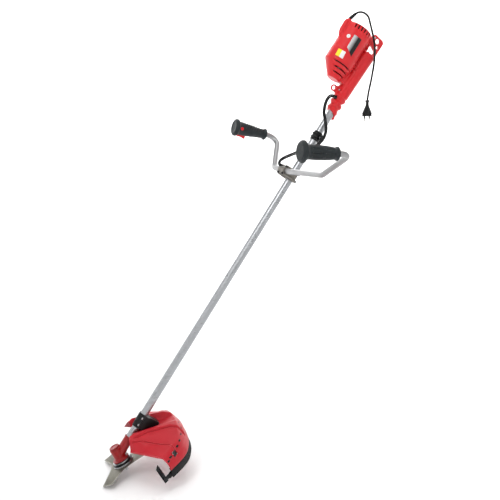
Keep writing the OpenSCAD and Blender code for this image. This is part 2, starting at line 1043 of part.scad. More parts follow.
module guard_bracket() {
    color(black)
        posed()
            difference() {
                union() {
                    rod_x(bracket_x0, bracket_x1, tube_r + 3);
                    translate([bracket_x0, -guard_screw_y - 4, -tube_r - 3])
                        cube([bracket_x1 - bracket_x0, 2 * guard_screw_y + 8, tube_r + 2.5]);
                    translate([bracket_x0, -16, -58])
                        cube([bracket_x1 - bracket_x0, 32, 44]);
                }
                rod_x(bracket_x0 - 1, bracket_x1 + 1, tube_r);
                translate([bracket_x0 - 1, -40, -0.5])
                    cube([bracket_x1 - bracket_x0 + 2, 80, 60]);
                guard_axes()
                    translate([guard_shift + 64, 0, 90.1])
                        rotate([0, 2.32, 0])
                            translate([-90, -60, -150])
                                cube([300, 120, 150]);
                for (x = [bracket_x0 + 12, bracket_x1 - 12], y = [-guard_screw_y, guard_screw_y])
                    translate([x, y, -30])
                        cylinder(h = 60, r = 2.1);
            }
}

module guard_bracket_cap() {
    color(black)
        posed()
            difference() {
                union() {
                    rod_x(bracket_x0, bracket_x1, tube_r + 3);
                    translate([bracket_x0, -guard_screw_y - 4, 0.5])
                        cube([bracket_x1 - bracket_x0, 2 * guard_screw_y + 8, 4]);
                }
                rod_x(bracket_x0 - 1, bracket_x1 + 1, tube_r);
                translate([bracket_x0 - 1, -40, -59.5])
                    cube([bracket_x1 - bracket_x0 + 2, 80, 60]);
                for (x = [bracket_x0 + 12, bracket_x1 - 12], y = [-guard_screw_y, guard_screw_y])
                    translate([x, y, -30])
                        cylinder(h = 60, r = 2.1);
            }
}

module guard_screws() {
    color(steel)
        posed()
            for (x = [bracket_x0 + 12, bracket_x1 - 12], y = [-guard_screw_y, guard_screw_y])
                translate([x, y, 0]) {
                    translate([0, 0, -14])
                        cylinder(h = 18.5, r = 2);
                    translate([0, 0, 4.5])
                        cylinder(h = 3, r = 3.8);
                }
}

// ---- gear head, in the head's axes ----

case_r = 19;
spindle_tip_r = 4.8;
gear_cone = 34.7;
pinion_cone = 26.3;
cone_far = 26;
cone_near = 17;

module gear_case() {
    color(dark_red)
        posed()
            difference() {
                union() {
                    head() {
                        translate([0, 0, -14])
                            cylinder(h = 41, r = case_r);
                        translate([0, 0, -16])
                            cylinder(h = 7, r1 = 28, r2 = 24);
                    }
                    rod_x(head_x + 6, tube_low_x + 34, 16.5);
                    translate([tube_low_x + 6, -5, -24])
                        cube([24, 10, 12]);
                }
                head() {
                    translate([0, 0, -3])
                        cylinder(h = 40, r = case_r - 3);
                    translate([0, 0, -17])
                        cylinder(h = 20, r = 14);
                }
                rod_x(head_x + 8, tube_low_x - 8, 12);
                rod_x(tube_low_x - 10, tube_low_x + 40, tube_r);
                rod_y(tube_low_x + 18, 0, -19, 30, 2.1);
            }
}

module gear_case_cap() {
    color(dark_red)
        posed()
            head() {
                translate([0, 0, 27])
                    cylinder(h = 6, r = 16);
                for (a = [0:30:330])
                    rotate([0, 0, a])
                        translate([13, -1, 27])
                            cube([4.2, 2, 6]);
            }
}

module case_screws() {
    color(steel)
        posed() {
            rod_y(tube_low_x + 18, 0, -19, 14, 2);
            rod_y(tube_low_x + 18, -7, -19, 4, 3.6);
        }
}

module head_bearings() {
    color(steel)
        posed() {
            head() {
                ring_z(-14, -4, 14, 6 + run_gap);
                ring_z(24.5, 27, case_r - 3, 4.5 + run_gap);
            }
            ring_x(tube_low_x - 14, tube_low_x - 8, 12, drive_r + run_gap);
        }
}

// Bevel gear blank about +Z with its cone's point at the origin
module bevel(cone, bore, back, teeth) {
    r_far = cone_far * sin(cone) - 0.5;
    r_near = cone_near * sin(cone) - 0.5;
    z_far = cone_far * cos(cone);
    z_near = cone_near * cos(cone);
    difference() {
        union() {
            translate([0, 0, z_near])
                cylinder(h = z_far - z_near, r1 = r_near, r2 = r_far);
            translate([0, 0, z_far - tiny])
                cylinder(h = back, r = r_far * 0.8);
        }
        translate([0, 0, z_near - 1])
            cylinder(h = z_far - z_near + back + 2, r = bore);
        for (i = [0:teeth - 1])
            rotate([0, 0, 360 * i / teeth])
                rotate([0, cone, 0])
                    translate([-0.2, -0.5, cone_near - 2])
                        cube([2, 1, cone_far - cone_near + 4]);
    }
}

module bevel_gear() {
    color(steel)
        posed()
            head()
                bevel(gear_cone, 4.5, 1, 18);
}

module bevel_pinion() {
    color(steel)
        posed()
            translate([head_x, 0, 0])
                rotate([0, 90, 0])
                    bevel(pinion_cone, drive_r, 2, 14);
}

module output_spindle() {
    color(steel)
        posed()
            head() {
                translate([0, 0, 9])
                    cylinder(h = 18, r = 4.5);
                translate([0, 0, -18])
                    cylinder(h = 27, r = 6);
                translate([0, 0, -47])
                    cylinder(h = 29, r = 5);
                translate([0, 0, -60])
                    cylinder(h = 13, r = spindle_tip_r);
            }
}

flange_r = 35;
module blade_flange() {
    color(steel)
        posed()
            head()
                difference() {
                    union() {
                        translate([0, 0, -27])
                            cylinder(h = 9, r = 28);
                        translate([0, 0, blade_z + blade_t / 2])
                            cylinder(h = -27 - blade_z - blade_t / 2, r = flange_r);
                        translate([0, 0, blade_z - blade_t / 2])
                            cylinder(h = blade_t + 1, r = blade_bore_r - 0.05);
                        for (a = [0:15:345])
                            rotate([0, 0, a])
                                translate([26, -1.6, -27])
                                    cube([5, 3.2, 8]);
                    }
                    translate([0, 0, -50])
                        cylinder(h = 40, r = 5);
                }
}

tooth_width = 18;
tooth_phase = -138;
module blade() {
    color(blade_steel)
        posed()
            head()
                translate([0, 0, blade_z - blade_t / 2])
                    difference() {
                        linear_extrude(blade_t)
                            polygon([
                                for (i = [0:2])
                                    let (a = tooth_phase + 120 * i)
                                    each [
                                        blade_r * polar(a),
                                        blade_r * 0.99 * polar(a + tooth_width),
                                        blade_r * 0.42 * polar(a + 40),
                                        blade_r * 0.4 * polar(a + 76)
                                    ]
                            ]);
                        translate([0, 0, -1])
                            cylinder(h = 5, r = blade_bore_r);
                    }
}

module blade_cup() {
    color(steel)
        posed()
            head()
                difference() {
                    translate([0, 0, -45])
                        cylinder(h = 45 + blade_z - blade_t / 2, r1 = 22, r2 = 31);
                    translate([0, 0, -60])
                        cylinder(h = 22, r = 17);
                    translate([0, 0, -60])
                        cylinder(h = 40, r = 5.02);
                }
}

module blade_nut() {
    color(steel)
        posed()
            head()
                translate([0, 0, -46])
                    difference() {
                        cylinder(h = 8, r = 9.8, $fn = 6);
                        translate([0, 0, -1])
                            cylinder(h = 10, r = 5);
                    }
}

housing_left();
housing_right();
housing_screws();
name_plate();
labels();
terminal_block();
cord_sleeve();
mains_cord();
plug_body();
plug_pins();
control_cable();
stator();
field_coils();
motor_bracket();
motor_bearings();
brush_holders();
armature();
commutator();
cooling_fan();
motor_pulley();
drive_belt();
driven_pulley();
shaft_bearings();
drive_shaft();
shaft_tube();
shaft_bushings();
cable_band();
bar_clamp_base();
bar_clamp_cap();
bar_clamp_bolts();
left_handlebar();
right_handlebar();
left_grip();
switch_grip_left();
switch_grip_right();
grip_screws();
trigger();
lock_button();
trigger_spring();
power_switch();
guard();
guard_skirt();
line_cutter();
cutter_screws();
guard_bracket();
guard_bracket_cap();
guard_screws();
gear_case();
gear_case_cap();
case_screws();
head_bearings();
bevel_pinion();
bevel_gear();
output_spindle();
blade_flange();
blade();
blade_cup();
blade_nut();
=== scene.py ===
import math

import bmesh
import bpy
from mathutils import Matrix, Vector


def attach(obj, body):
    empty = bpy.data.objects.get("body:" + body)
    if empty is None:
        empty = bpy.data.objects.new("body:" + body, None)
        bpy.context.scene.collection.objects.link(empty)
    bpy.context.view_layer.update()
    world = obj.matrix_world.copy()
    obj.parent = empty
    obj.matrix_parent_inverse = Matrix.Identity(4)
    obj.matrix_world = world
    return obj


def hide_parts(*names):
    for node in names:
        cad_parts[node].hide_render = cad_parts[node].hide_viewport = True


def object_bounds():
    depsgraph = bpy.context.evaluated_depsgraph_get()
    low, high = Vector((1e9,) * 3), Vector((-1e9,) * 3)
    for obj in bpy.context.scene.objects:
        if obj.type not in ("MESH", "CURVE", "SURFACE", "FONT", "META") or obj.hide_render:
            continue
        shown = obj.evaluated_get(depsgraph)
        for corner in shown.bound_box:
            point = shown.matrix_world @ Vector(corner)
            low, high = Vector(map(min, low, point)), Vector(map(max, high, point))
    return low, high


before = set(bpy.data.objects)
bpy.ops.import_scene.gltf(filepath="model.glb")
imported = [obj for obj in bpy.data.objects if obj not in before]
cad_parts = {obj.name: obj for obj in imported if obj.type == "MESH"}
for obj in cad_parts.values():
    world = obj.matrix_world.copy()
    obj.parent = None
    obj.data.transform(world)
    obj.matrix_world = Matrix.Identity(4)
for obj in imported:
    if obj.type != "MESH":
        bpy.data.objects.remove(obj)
cad_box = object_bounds()

MM = 0.001
PI = math.pi
SHAFT_ELEVATION = 55
EYE_X = 326
EYE_Z = 41
HEAD_X = -1093
HEAD_ROLL = -8
HEAD_TILT = 29
GUARD_TILT = 41
GUARD_ROLL = 3
GUARD_DROP = 40


def turn(degrees, axis):
    return Matrix.Rotation(math.radians(degrees), 4, axis)


def shift(x, y, z):
    return Matrix.Translation((x, y, z))


ROW = Matrix.Scale(MM, 4)
TOOL = ROW @ turn(-SHAFT_ELEVATION, "Y") @ shift(-EYE_X, 0, -EYE_Z)
HEAD = TOOL @ shift(HEAD_X, 0, 0) @ turn(HEAD_ROLL, "X") @ turn(HEAD_TILT, "Y")
GUARD = TOOL @ shift(HEAD_X, 0, 0) @ turn(GUARD_TILT, "Y") @ turn(GUARD_ROLL, "X") @ shift(0, 0, -GUARD_DROP)


def frame_at(point, direction, side):
    """Axes at a point, with Z along the direction and X towards the side."""
    z = Vector(direction).normalized()
    y = z.cross(Vector(side)).normalized()
    x = y.cross(z)
    m = Matrix((x, y, z)).transposed().to_4x4()
    m.translation = Vector(point)
    return m


LEFT_BAR = [(0, -8, 36), (0, -44, 36), (12, -268, 44), (88, -388, 62), (12.4, -386.2, 195.2)]
RIGHT_BAR = [(0, 8, 36), (0, 78, 36), (116, 199, 30), (78, 199, 128.8)]
LEFT_ROOT = (67, -387.5, 99)
RIGHT_ROOT = (96, 199, 82)
GRIP_L = TOOL @ frame_at(LEFT_ROOT, Vector(LEFT_BAR[-1]) - Vector(LEFT_ROOT), (0, -1, 0))
GRIP_R = TOOL @ frame_at(RIGHT_ROOT, Vector(RIGHT_BAR[-1]) - Vector(RIGHT_ROOT), (0, 1, 0))


# ---- shapes, as (vertices, faces) ----

def rings(loops, closed_ends=True):
    """Skin over loops of equal length, with a lid on each end."""
    n = len(loops[0])
    verts = [p for loop in loops for p in loop]
    faces = []
    for i in range(len(loops) - 1):
        for j in range(n):
            k = (j + 1) % n
            faces.append((i * n + j, i * n + k, (i + 1) * n + k, (i + 1) * n + j))
    if closed_ends:
        faces.append(tuple(reversed(range(n))))
        faces.append(tuple((len(loops) - 1) * n + j for j in range(n)))
    return verts, faces


def torus(loops):
    """Skin over loops that come round to the first one again."""
    return rings(loops + [loops[0]], closed_ends=False)


def circle(r, z, seg):
    return [(r * math.cos(2 * PI * j / seg), r * math.sin(2 * PI * j / seg), z) for j in range(seg)]


def lathe_z(profile, seg=48):
    """Solid turned about Z from (radius, height) pairs, bottom to top."""
    return rings([circle(r, h, seg) for r, h in profile])


def tube_z(profile, seg=64):
    """Ring turned about Z from a closed (radius, height) outline."""
    return torus([circle(r, h, seg) for r, h in profile])


def lathe_x(profile, seg=64):
    """Solid along X from (x, radius, centre height) triples."""
    return rings([
        [(x, r * math.cos(2 * PI * j / seg), c + r * math.sin(2 * PI * j / seg)) for j in range(seg)]
        for x, r, c in profile
    ])


def box(x0, x1, y0, y1, z0, z1):
    return rings([
        [(x0, y0, z), (x1, y0, z), (x1, y1, z), (x0, y1, z)] for z in (z0, z1)
    ])


def prism_y(outline, y0, y1):
    """Solid across Y from an (x, z) outline."""
    return rings([[(x, y, z) for x, z in outline] for y in (y0, y1)])


def rod(a, b, r, seg=24, r_end=None):
    m = frame_at(a, Vector(b) - Vector(a), (0.31, 0.17, 0.93))
    length = (Vector(b) - Vector(a)).length
    verts, faces = lathe_z([(r, 0), (r if r_end is None else r_end, length)], seg)
    return [tuple(m @ Vector(v)) for v in verts], faces


def moved(shape, m):
    return [tuple(m @ Vector(v)) for v in shape[0]], shape[1]


def joined(*shapes):
    verts, faces = [], []
    for v, f in shapes:
        base = len(verts)
        verts += list(v)
        faces += [tuple(base + i for i in face) for face in f]
    return verts, faces


def spline(points, steps):
    """Smooth curve through the points."""
    pts = [Vector(p) for p in points]
    out = []
    for i in range(len(pts) - 1):
        a, b = pts[max(i - 1, 0)], pts[i]
        c, d = pts[i + 1], pts[min(i + 2, len(pts) - 1)]
        for j in range(steps):
            k = j / steps
            out.append(0.5 * (2 * b + (c - a) * k + (2 * a - 5 * b + 4 * c - d) * k * k
                              + (3 * b - a - 3 * c + d) * k ** 3))
    out.append(pts[-1])
    return out


def bent(corners, bends, steps=10):
    """Centre line of a tube with a round bend at each inner corner."""
    pts = [Vector(p) for p in corners]
    out = [pts[0]]
    for i, r in enumerate(bends, 1):
        d0 = (pts[i] - pts[i - 1]).normalized()
        d1 = (pts[i + 1] - pts[i]).normalized()
        angle = d0.angle(d1)
        inward = (d1 - d0 * d0.dot(d1)).normalized()
        start = pts[i] - d0 * r * math.tan(angle / 2)
        for s in range(steps + 1):
            a = angle * s / steps
            out.append(start + inward * r * (1 - math.cos(a)) + d0 * r * math.sin(a))
    out.append(pts[-1])
    return out


def directions(path):
    last = len(path) - 1
    return [(path[min(i + 1, last)] - path[max(i - 1, 0)]).normalized() for i in range(last + 1)]


def share_of(x):
    """The number, held between 0 and 1."""
    return max(0, min(1, x))


def sweep(path, radius, sides=24, bore=None):
    """Tube along a path, solid or bored through."""
    path = [Vector(p) for p in path]
    tangents = directions(path)
    u = tangents[0].orthogonal().normalized()
    loops = []
    inner = []
    for p, t in zip(path, tangents):
        u = (u - t * u.dot(t)).normalized()
        v = t.cross(u)
        turns = [2 * PI * j / sides for j in range(sides)]
        around = [math.cos(a) * u + math.sin(a) * v for a in turns]
        loops.append([tuple(p + side * radius) for side in around])
        if bore:
            inner.append([tuple(p + side * bore) for side in around])
    if bore:
        return torus(loops + inner[::-1])
    return rings(loops)


# ---- objects ----

def solid(name, shape, place, weld=0.0):
    """Mesh object of a shape, turned outwards, in the row frame."""
    mesh = bpy.data.meshes.new(name)
    mesh.from_pydata([tuple(place @ Vector(v)) for v in shape[0]], [], shape[1])
    bm = bmesh.new()
    bm.from_mesh(mesh)
    if weld:
        bmesh.ops.remove_doubles(bm, verts=bm.verts, dist=weld)
    bmesh.ops.recalc_face_normals(bm, faces=bm.faces)
    bm.to_mesh(mesh)
    bm.free()
    obj = bpy.data.objects.new(name, mesh)
    bpy.context.scene.collection.objects.link(obj)
    return obj


def bake(obj):
    """Applies an object's modifiers to its mesh."""
    bpy.context.view_layer.update()
    deps = bpy.context.evaluated_depsgraph_get()
    mesh = bpy.data.meshes.new_from_object(obj.evaluated_get(deps))
    obj.modifiers.clear()
    obj.data = mesh
    return obj


def fuse(obj, voxel, rounds):
    """Melts overlapping solids into one moulded skin with soft inner corners."""
    m = obj.modifiers.new("melt", "REMESH")
    m.mode = "VOXEL"
    m.voxel_size = voxel * MM
    m = obj.modifiers.new("soften", "SMOOTH")
    m.factor = 0.5
    m.iterations = rounds
    return bake(obj)


def cut(obj, place, *shapes, operation="DIFFERENCE"):
    """Takes shapes out of an object one after another, or keeps only what lies inside them."""
    for shape in shapes:
        cutter = solid("cutter", shape, place)
        m = obj.modifiers.new("cut", "BOOLEAN")
        m.operation = operation
        m.object = cutter
        m.solver = "MANIFOLD"
        bake(obj)
        bpy.data.objects.remove(cutter)


def slice_of(obj, name, block, place):
    """Copy of the stretch of an object that lies inside a block."""
    piece = solid(name, ([], []), place)
    piece.data = obj.data.copy()
    cut(piece, place, block, operation="INTERSECT")
    return piece


def absorb(obj, other):
    """Puts another object's mesh into this one, overlapping, for a melt that follows."""
    bm = bmesh.new()
    bm.from_mesh(obj.data)
    bm.from_mesh(other.data)
    bm.to_mesh(obj.data)
    bm.free()
    bpy.data.objects.remove(other)


def bevel(obj, width, angle=35):
    m = obj.modifiers.new("edges", "BEVEL")
    m.width = width * MM
    m.segments = 2
    m.limit_method = "ANGLE"
    m.angle_limit = math.radians(angle)
    return bake(obj)


def finish(obj, material, body, *replaced, angle=35):
    """Smooth shading, a material, a body to ride on and the CAD nodes it stands for."""
    obj.data.shade_smooth()
    obj.data.set_sharp_from_angle(angle=math.radians(angle))
    obj.data.materials.clear()
    obj.data.materials.append(material)
    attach(obj, body)
    if replaced:
        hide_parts(*replaced)
    return obj


def cad_copy(node, width, material, body):
    """A CAD node's own shape with its edges broken."""
    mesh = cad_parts[node].data.copy()
    obj = bpy.data.objects.new(node + "_skin", mesh)
    bpy.context.scene.collection.objects.link(obj)
    bm = bmesh.new()
    bm.from_mesh(mesh)
    bmesh.ops.remove_doubles(bm, verts=bm.verts, dist=1e-6)
    bmesh.ops.dissolve_limit(bm, angle_limit=math.radians(1), verts=bm.verts, edges=bm.edges)
    bm.to_mesh(mesh)
    bm.free()
    bevel(obj, width, angle=30)
    return finish(obj, material, body, node)


# ---- materials ----

def node_material(name):
    material = bpy.data.materials.new(name)
    material.use_nodes = True
    tree = material.node_tree
    return material, tree, tree.nodes["Principled BSDF"]


def add(tree, kind, inputs, **settings):
    """Shader node, with each input linked to a socket or set to a value."""
    node = tree.nodes.new("ShaderNode" + kind)
    for key, value in settings.items():
        setattr(node, key, value)
    for key, value in inputs.items():
        if isinstance(value, bpy.types.NodeSocket):
            tree.links.new(value, node.inputs[key])
        else:
            node.inputs[key].default_value = value
    return node


def ramp(tree, share, *stops):
    """Colour between two (position, colour) stops."""
    node = add(tree, "ValToRGB", {"Fac": share})
    for element, (position, colour) in zip(node.color_ramp.elements, stops):
        element.position = position
        element.color = (*colour, 1)
    return node.outputs["Color"]


def surface(name, colour, rough, metallic=0.0, coat=0.0, specular=0.5, grain=(400, 0.0002),
            mottle=(18, 0.12), rough_spread=0.08, stretch=(1, 1, 1), tilt=0.0, wear=None):
    """A moulded, cast, drawn or painted finish: fine relief, uneven colour and gloss, rubbed edges.

    grain is the relief's scale and depth, mottle the scale and amount of uneven colour, and wear
    the amount and colour of rubbed edges.
    """
    material, tree, shader = node_material(name)
    uneven = mottle[1]
    place = add(tree, "TexCoord", {}).outputs["Object"]
    turned = add(tree, "Mapping", {"Vector": place, "Rotation": (0, math.radians(tilt), 0),
                                   "Scale": stretch}).outputs["Vector"]
    broad = add(tree, "TexNoise", {"Vector": place, "Scale": mottle[0], "Detail": 5}).outputs["Fac"]
    fine = add(tree, "TexNoise", {"Vector": turned, "Scale": grain[0], "Detail": 4}).outputs["Fac"]
    dark = [c * (1 - uneven) for c in colour]
    light = [min(1, c * (1 + uneven) + 0.01 * uneven) for c in colour]
    tint = ramp(tree, broad, (0.3, dark), (0.7, light))
    gloss = add(tree, "MapRange", {"Value": fine, "From Min": 0.3, "From Max": 0.7,
                                   "To Min": max(0.02, rough - rough_spread),
                                   "To Max": min(1, rough + rough_spread)})
    relief = add(tree, "Bump", {"Height": fine, "Strength": 0.6, "Distance": grain[1]})
    if wear:
        point = add(tree, "NewGeometry", {}).outputs["Pointiness"]
        edge = add(tree, "MapRange", {"Value": point, "From Min": 0.54, "From Max": 0.66, "To Max": wear[0]})
        rubbed = add(tree, "Math", {0: edge.outputs["Result"], 1: broad}, operation="MULTIPLY")
        inputs = {0: rubbed.outputs[0], 6: tint, 7: (*wear[1], 1)}
        tint = add(tree, "Mix", inputs, data_type="RGBA").outputs[2]
    tree.links.new(tint, shader.inputs["Base Color"])
    tree.links.new(gloss.outputs["Result"], shader.inputs["Roughness"])
    tree.links.new(relief.outputs["Normal"], shader.inputs["Normal"])
    shader.inputs["Metallic"].default_value = metallic
    shader.inputs["Coat Weight"].default_value = coat
    shader.inputs["Coat Roughness"].default_value = 0.25
    shader.inputs["Specular IOR Level"].default_value = specular
    return material


RED = surface("housing_red", (0.64, 0.011, 0.016), 0.36, coat=0.08, specular=0.35, grain=(900, 0.00008),
              mottle=(14, 0.05), wear=(0.25, (0.85, 0.25, 0.25)))
GUARD_RED = surface("guard_red", (0.47, 0.006, 0.016), 0.42, specular=0.32, grain=(1100, 0.00012),
                    mottle=(10, 0.07), wear=(0.3, (0.8, 0.2, 0.22)))
# Painted shade: a darker red for the faces in the guard's creases, standing in for the shadow in their
# steps.
PAINTED_CREASE_SHADE = surface("painted_crease_shade", (0.36, 0.004, 0.011), 0.5, specular=0.25, grain=(1100, 0.00012),
                     mottle=(10, 0.07))
HEAD_RED = surface("head_red", (0.27, 0.003, 0.004), 0.34, coat=0.06, specular=0.35, grain=(260, 0.0003),
                   mottle=(30, 0.12), wear=(0.15, (0.5, 0.2, 0.18)))
CONTROL_RED = surface("control_red", (0.66, 0.012, 0.016), 0.33, specular=0.4, grain=(1200, 0.00006),
                      mottle=(40, 0.06))
SLATE = surface("grip_slate", (0.0115, 0.0165, 0.0185), 0.5, specular=0.32, grain=(1500, 0.00025),
                mottle=(25, 0.14), wear=(0.25, (0.08, 0.09, 0.1)))
BLACK = surface("black_plastic", (0.004, 0.0045, 0.005), 0.42, specular=0.25, grain=(1300, 0.00018),
                mottle=(30, 0.15), wear=(0.3, (0.07, 0.07, 0.075)))
BLACK_STEEL = surface("black_steel", (0.005, 0.005, 0.0055), 0.38, metallic=0.1, specular=0.25,
                      grain=(500, 0.00015), mottle=(50, 0.2), wear=(0.5, (0.1, 0.1, 0.105)))
TUBE = surface("tube_alloy", (0.38, 0.39, 0.405), 0.3, metallic=1, grain=(260, 0.000004),
               mottle=(9, 0.03), rough_spread=0.05, stretch=(0.03, 1, 1), tilt=55)
BAR = surface("bar_alloy", (0.34, 0.34, 0.345), 0.34, metallic=1, grain=(420, 0.000004),
              mottle=(12, 0.04), rough_spread=0.05, stretch=(1, 0.05, 1))
CAST = surface("cast_alloy", (0.2, 0.188, 0.168), 0.5, metallic=0.85, grain=(520, 0.0005),
               mottle=(60, 0.2), wear=(0.5, (0.5, 0.48, 0.45)))
STEEL = surface("steel", (0.5, 0.5, 0.52), 0.28, metallic=1, grain=(700, 0.00004), mottle=(40, 0.1),
                rough_spread=0.1, wear=(0.3, (0.8, 0.8, 0.8)))
BLADE_STEEL = surface("blade_steel", (0.11, 0.102, 0.075), 0.42, metallic=0.9, grain=(90, 0.00006),
                      mottle=(16, 0.16), rough_spread=0.1, stretch=(1, 0.08, 1),
                      wear=(0.5, (0.7, 0.69, 0.64)))
EDGE_STEEL = surface("ground_edge", (0.24, 0.23, 0.2), 0.3, metallic=1, grain=(900, 0.00005),
                     mottle=(30, 0.15))
COPPER = surface("copper", (0.62, 0.28, 0.14), 0.35, metallic=1, grain=(1400, 0.0002),
                 stretch=(1, 0.1, 1))
BRASS = surface("brass", (0.68, 0.52, 0.2), 0.32, metallic=1, grain=(600, 0.00005))
PALE = surface("pale_plastic", (0.7, 0.67, 0.58), 0.5, grain=(900, 0.0001))
SHEATH = surface("cable_sheath", (0.006, 0.007, 0.008), 0.46, specular=0.3, grain=(1600, 0.0002),
                 mottle=(35, 0.2))
BELT = surface("belt_rubber", (0.015, 0.015, 0.015), 0.7, grain=(900, 0.0003))
PIN = surface("pin_nickel", (0.62, 0.6, 0.56), 0.22, metallic=1, grain=(500, 0.00003))
WHITE = surface("label_white", (0.82, 0.82, 0.8), 0.35, grain=(900, 0.00004), mottle=(60, 0.03))
YELLOW = surface("label_yellow", (0.9, 0.76, 0.005), 0.35, grain=(900, 0.00004), mottle=(60, 0.05))
DARK_RING = surface("label_grey", (0.45, 0.45, 0.46), 0.35, grain=(900, 0.00004))


# ---- camera ----

camera_data = bpy.data.cameras.new("camera")
camera_data.lens = 57.67
camera_data.sensor_width = 36
camera_data.clip_end = 100
camera = bpy.data.objects.new("camera", camera_data)
camera.location = (-1.34273, -2.41690, 0.05426)
camera.rotation_euler = [math.radians(a) for a in (77.411, 0.02, -23.205)]
bpy.context.scene.collection.objects.link(camera)
bpy.context.scene.camera = camera


# ---- floor, backdrop and light ----

def make_stage():
    """Pale floor whose rim curves up into a wall all round."""
    low = cad_box[0][2] - 0.004
    flat_r = 3.4
    bend_r = 2.4
    wall_h = 5.5
    profile = [(0.001, 0), (1.5, 0), (flat_r, 0)]
    profile += [(flat_r + bend_r * math.sin(a), bend_r * (1 - math.cos(a)))
                for a in [math.radians(d) for d in range(8, 91, 8)]]
    profile += [(flat_r + bend_r, wall_h)]
    seg = 96
    verts, faces = rings([circle(r, low + h, seg) for r, h in profile], closed_ends=False)
    faces.append(tuple(range(seg)))
    mesh = bpy.data.meshes.new("studio_floor")
    mesh.from_pydata(verts, [], faces)
    mesh.shade_smooth()
    floor = bpy.data.objects.new("studio_floor", mesh)
    bpy.context.scene.collection.objects.link(floor)
    material, tree, shader = node_material("studio_paper")
    shader.inputs["Base Color"].default_value = (0.96, 0.96, 0.96, 1)
    shader.inputs["Roughness"].default_value = 0.9
    shader.inputs["Specular IOR Level"].default_value = 0.1
    mesh.materials.append(material)


def area_light(name, place, target, size, power):
    data = bpy.data.lights.new(name, "AREA")
    data.shape = "RECTANGLE"
    data.size, data.size_y = size
    data.energy = power
    light = bpy.data.objects.new(name, data)
    light.location = place
    light.rotation_euler = (Vector(target) - Vector(place)).to_track_quat("-Z", "Y").to_euler()
    bpy.context.scene.collection.objects.link(light)


def make_lights():
    middle = (-0.3, 0, -0.4)
    area_light("key", (-2.6, -1.6, 2.2), middle, (1.4, 1.4), 34)
    area_light("fill", (1.9, -2.6, 1.4), middle, (2.0, 2.0), 4)
    area_light("top", (-0.3, 0.3, 3.3), middle, (3.4, 3.4), 52)
    area_light("rear", (0.6, 2.9, 1.6), middle, (2.0, 1.6), 8)
    area_light("backdrop", (0.9, 2.2, 3.0), (2.9, 6.8, 0.4), (3.5, 2.0), 290)
    world = bpy.data.worlds.new("studio")
    world.use_nodes = True
    background = world.node_tree.nodes["Background"]
    background.inputs["Color"].default_value = (1, 1, 1, 1)
    background.inputs["Strength"].default_value = 0.52
    bpy.context.scene.world = world


make_stage()
make_lights()
bpy.context.scene.view_settings.view_transform = "Standard"


# ---- CAD nodes that stay as they are ----

def paint_node(node, material):
    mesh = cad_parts[node].data
    mesh.materials.clear()
    mesh.materials.append(material)


KEPT = [
    (STEEL, "armature motor_pulley shaft_bearings drive_shaft trigger_spring head_bearings "
            "bevel_pinion bevel_gear output_spindle"),
    (CAST, "driven_pulley"),
    (COPPER, "field_coils commutator"),
    (BRASS, "brush_holders"),
    (PALE, "terminal_block shaft_bushings"),
    (BELT, "drive_belt"),
    (BLACK, "cooling_fan power_switch"),
    # Painted shade: the motor's bearings, stator and bracket are dark steel so that the inside seen through
    # the vents looks dark.
    (BLACK_STEEL, "motor_bearings stator motor_bracket"),
]
for material, nodes in KEPT:
    for node in nodes.split():
        paint_node(node, material)


# ---- mains lead ----

CORD_ROUTE = [
    (77.5, 0, 241), (85, -1, 245), (93.5, -3, 246.7), (102, -5, 245.6), (110, -7.5, 242),
    (116.5, -10, 236), (120.5, -12.5, 229), (122.5, -14.5, 221), (125, -16.5, 209),
    (128.5, -19, 194), (132, -21.5, 178), (135.5, -24, 160), (138, -26.5, 141), (139, -28, 122),
    (138, -29.5, 104), (136, -31, 86), (133, -32, 66), (129, -32.5, 44), (124.5, -33, 22),
    (119.5, -33.5, 0), (115, -34, -21), (112, -34, -42),
]
CORD_D = 7
PIN_OFFSET = 9.5
PIN_R = 2.4
PLUG = ROW @ shift(*CORD_ROUTE[-1])
CORD_EXIT = TOOL @ shift(549, 0, 122) @ turn(108, "Y")


def make_mains_lead():
    path = spline(CORD_ROUTE, 6)
    cord = finish(solid("mains_lead", sweep(path, CORD_D / 2, 24), ROW), SHEATH, "frame", "mains_cord")
    sleeve = finish(solid("lead_sleeve", sleeve_shape(), CORD_EXIT), BLACK, "frame", "cord_sleeve")
    plug = finish(solid("plug", plug_shape(), PLUG), BLACK, "frame", "plug_body", angle=50)
    pins = [rod((y, 0, -53), (y, 0, -71), PIN_R) for y in (-PIN_OFFSET, PIN_OFFSET)]
    pins += [rod((y, 0, -71), (y, 0, -72), PIN_R, r_end=PIN_R - 1) for y in (-PIN_OFFSET, PIN_OFFSET)]
    pin_pair = finish(solid("plug_pin_pair", joined(*pins), PLUG), PIN, "frame", "plug_pins")
    collars = [rod((y, 0, -53.5), (y, 0, -62), PIN_R + 0.1) for y in (-PIN_OFFSET, PIN_OFFSET)]
    pin_collars = finish(solid("plug_pin_collars", joined(*collars), PLUG), BLACK, "frame")


def sleeve_shape():
    """Tapered strain relief with rings round it."""
    profile = [(5.2, -8), (6, -7.5), (6, 2)]
    for i in range(6):
        z = 2.6 + 2.9 * i
        r = 5.9 - 0.22 * i
        profile += [(r, z), (r, z + 1.5), (r - 0.7, z + 1.8), (r - 0.7, z + 2.6)]
    profile += [(4.6, 20), (3.6, 20.2)]
    return lathe_z(profile, 40)


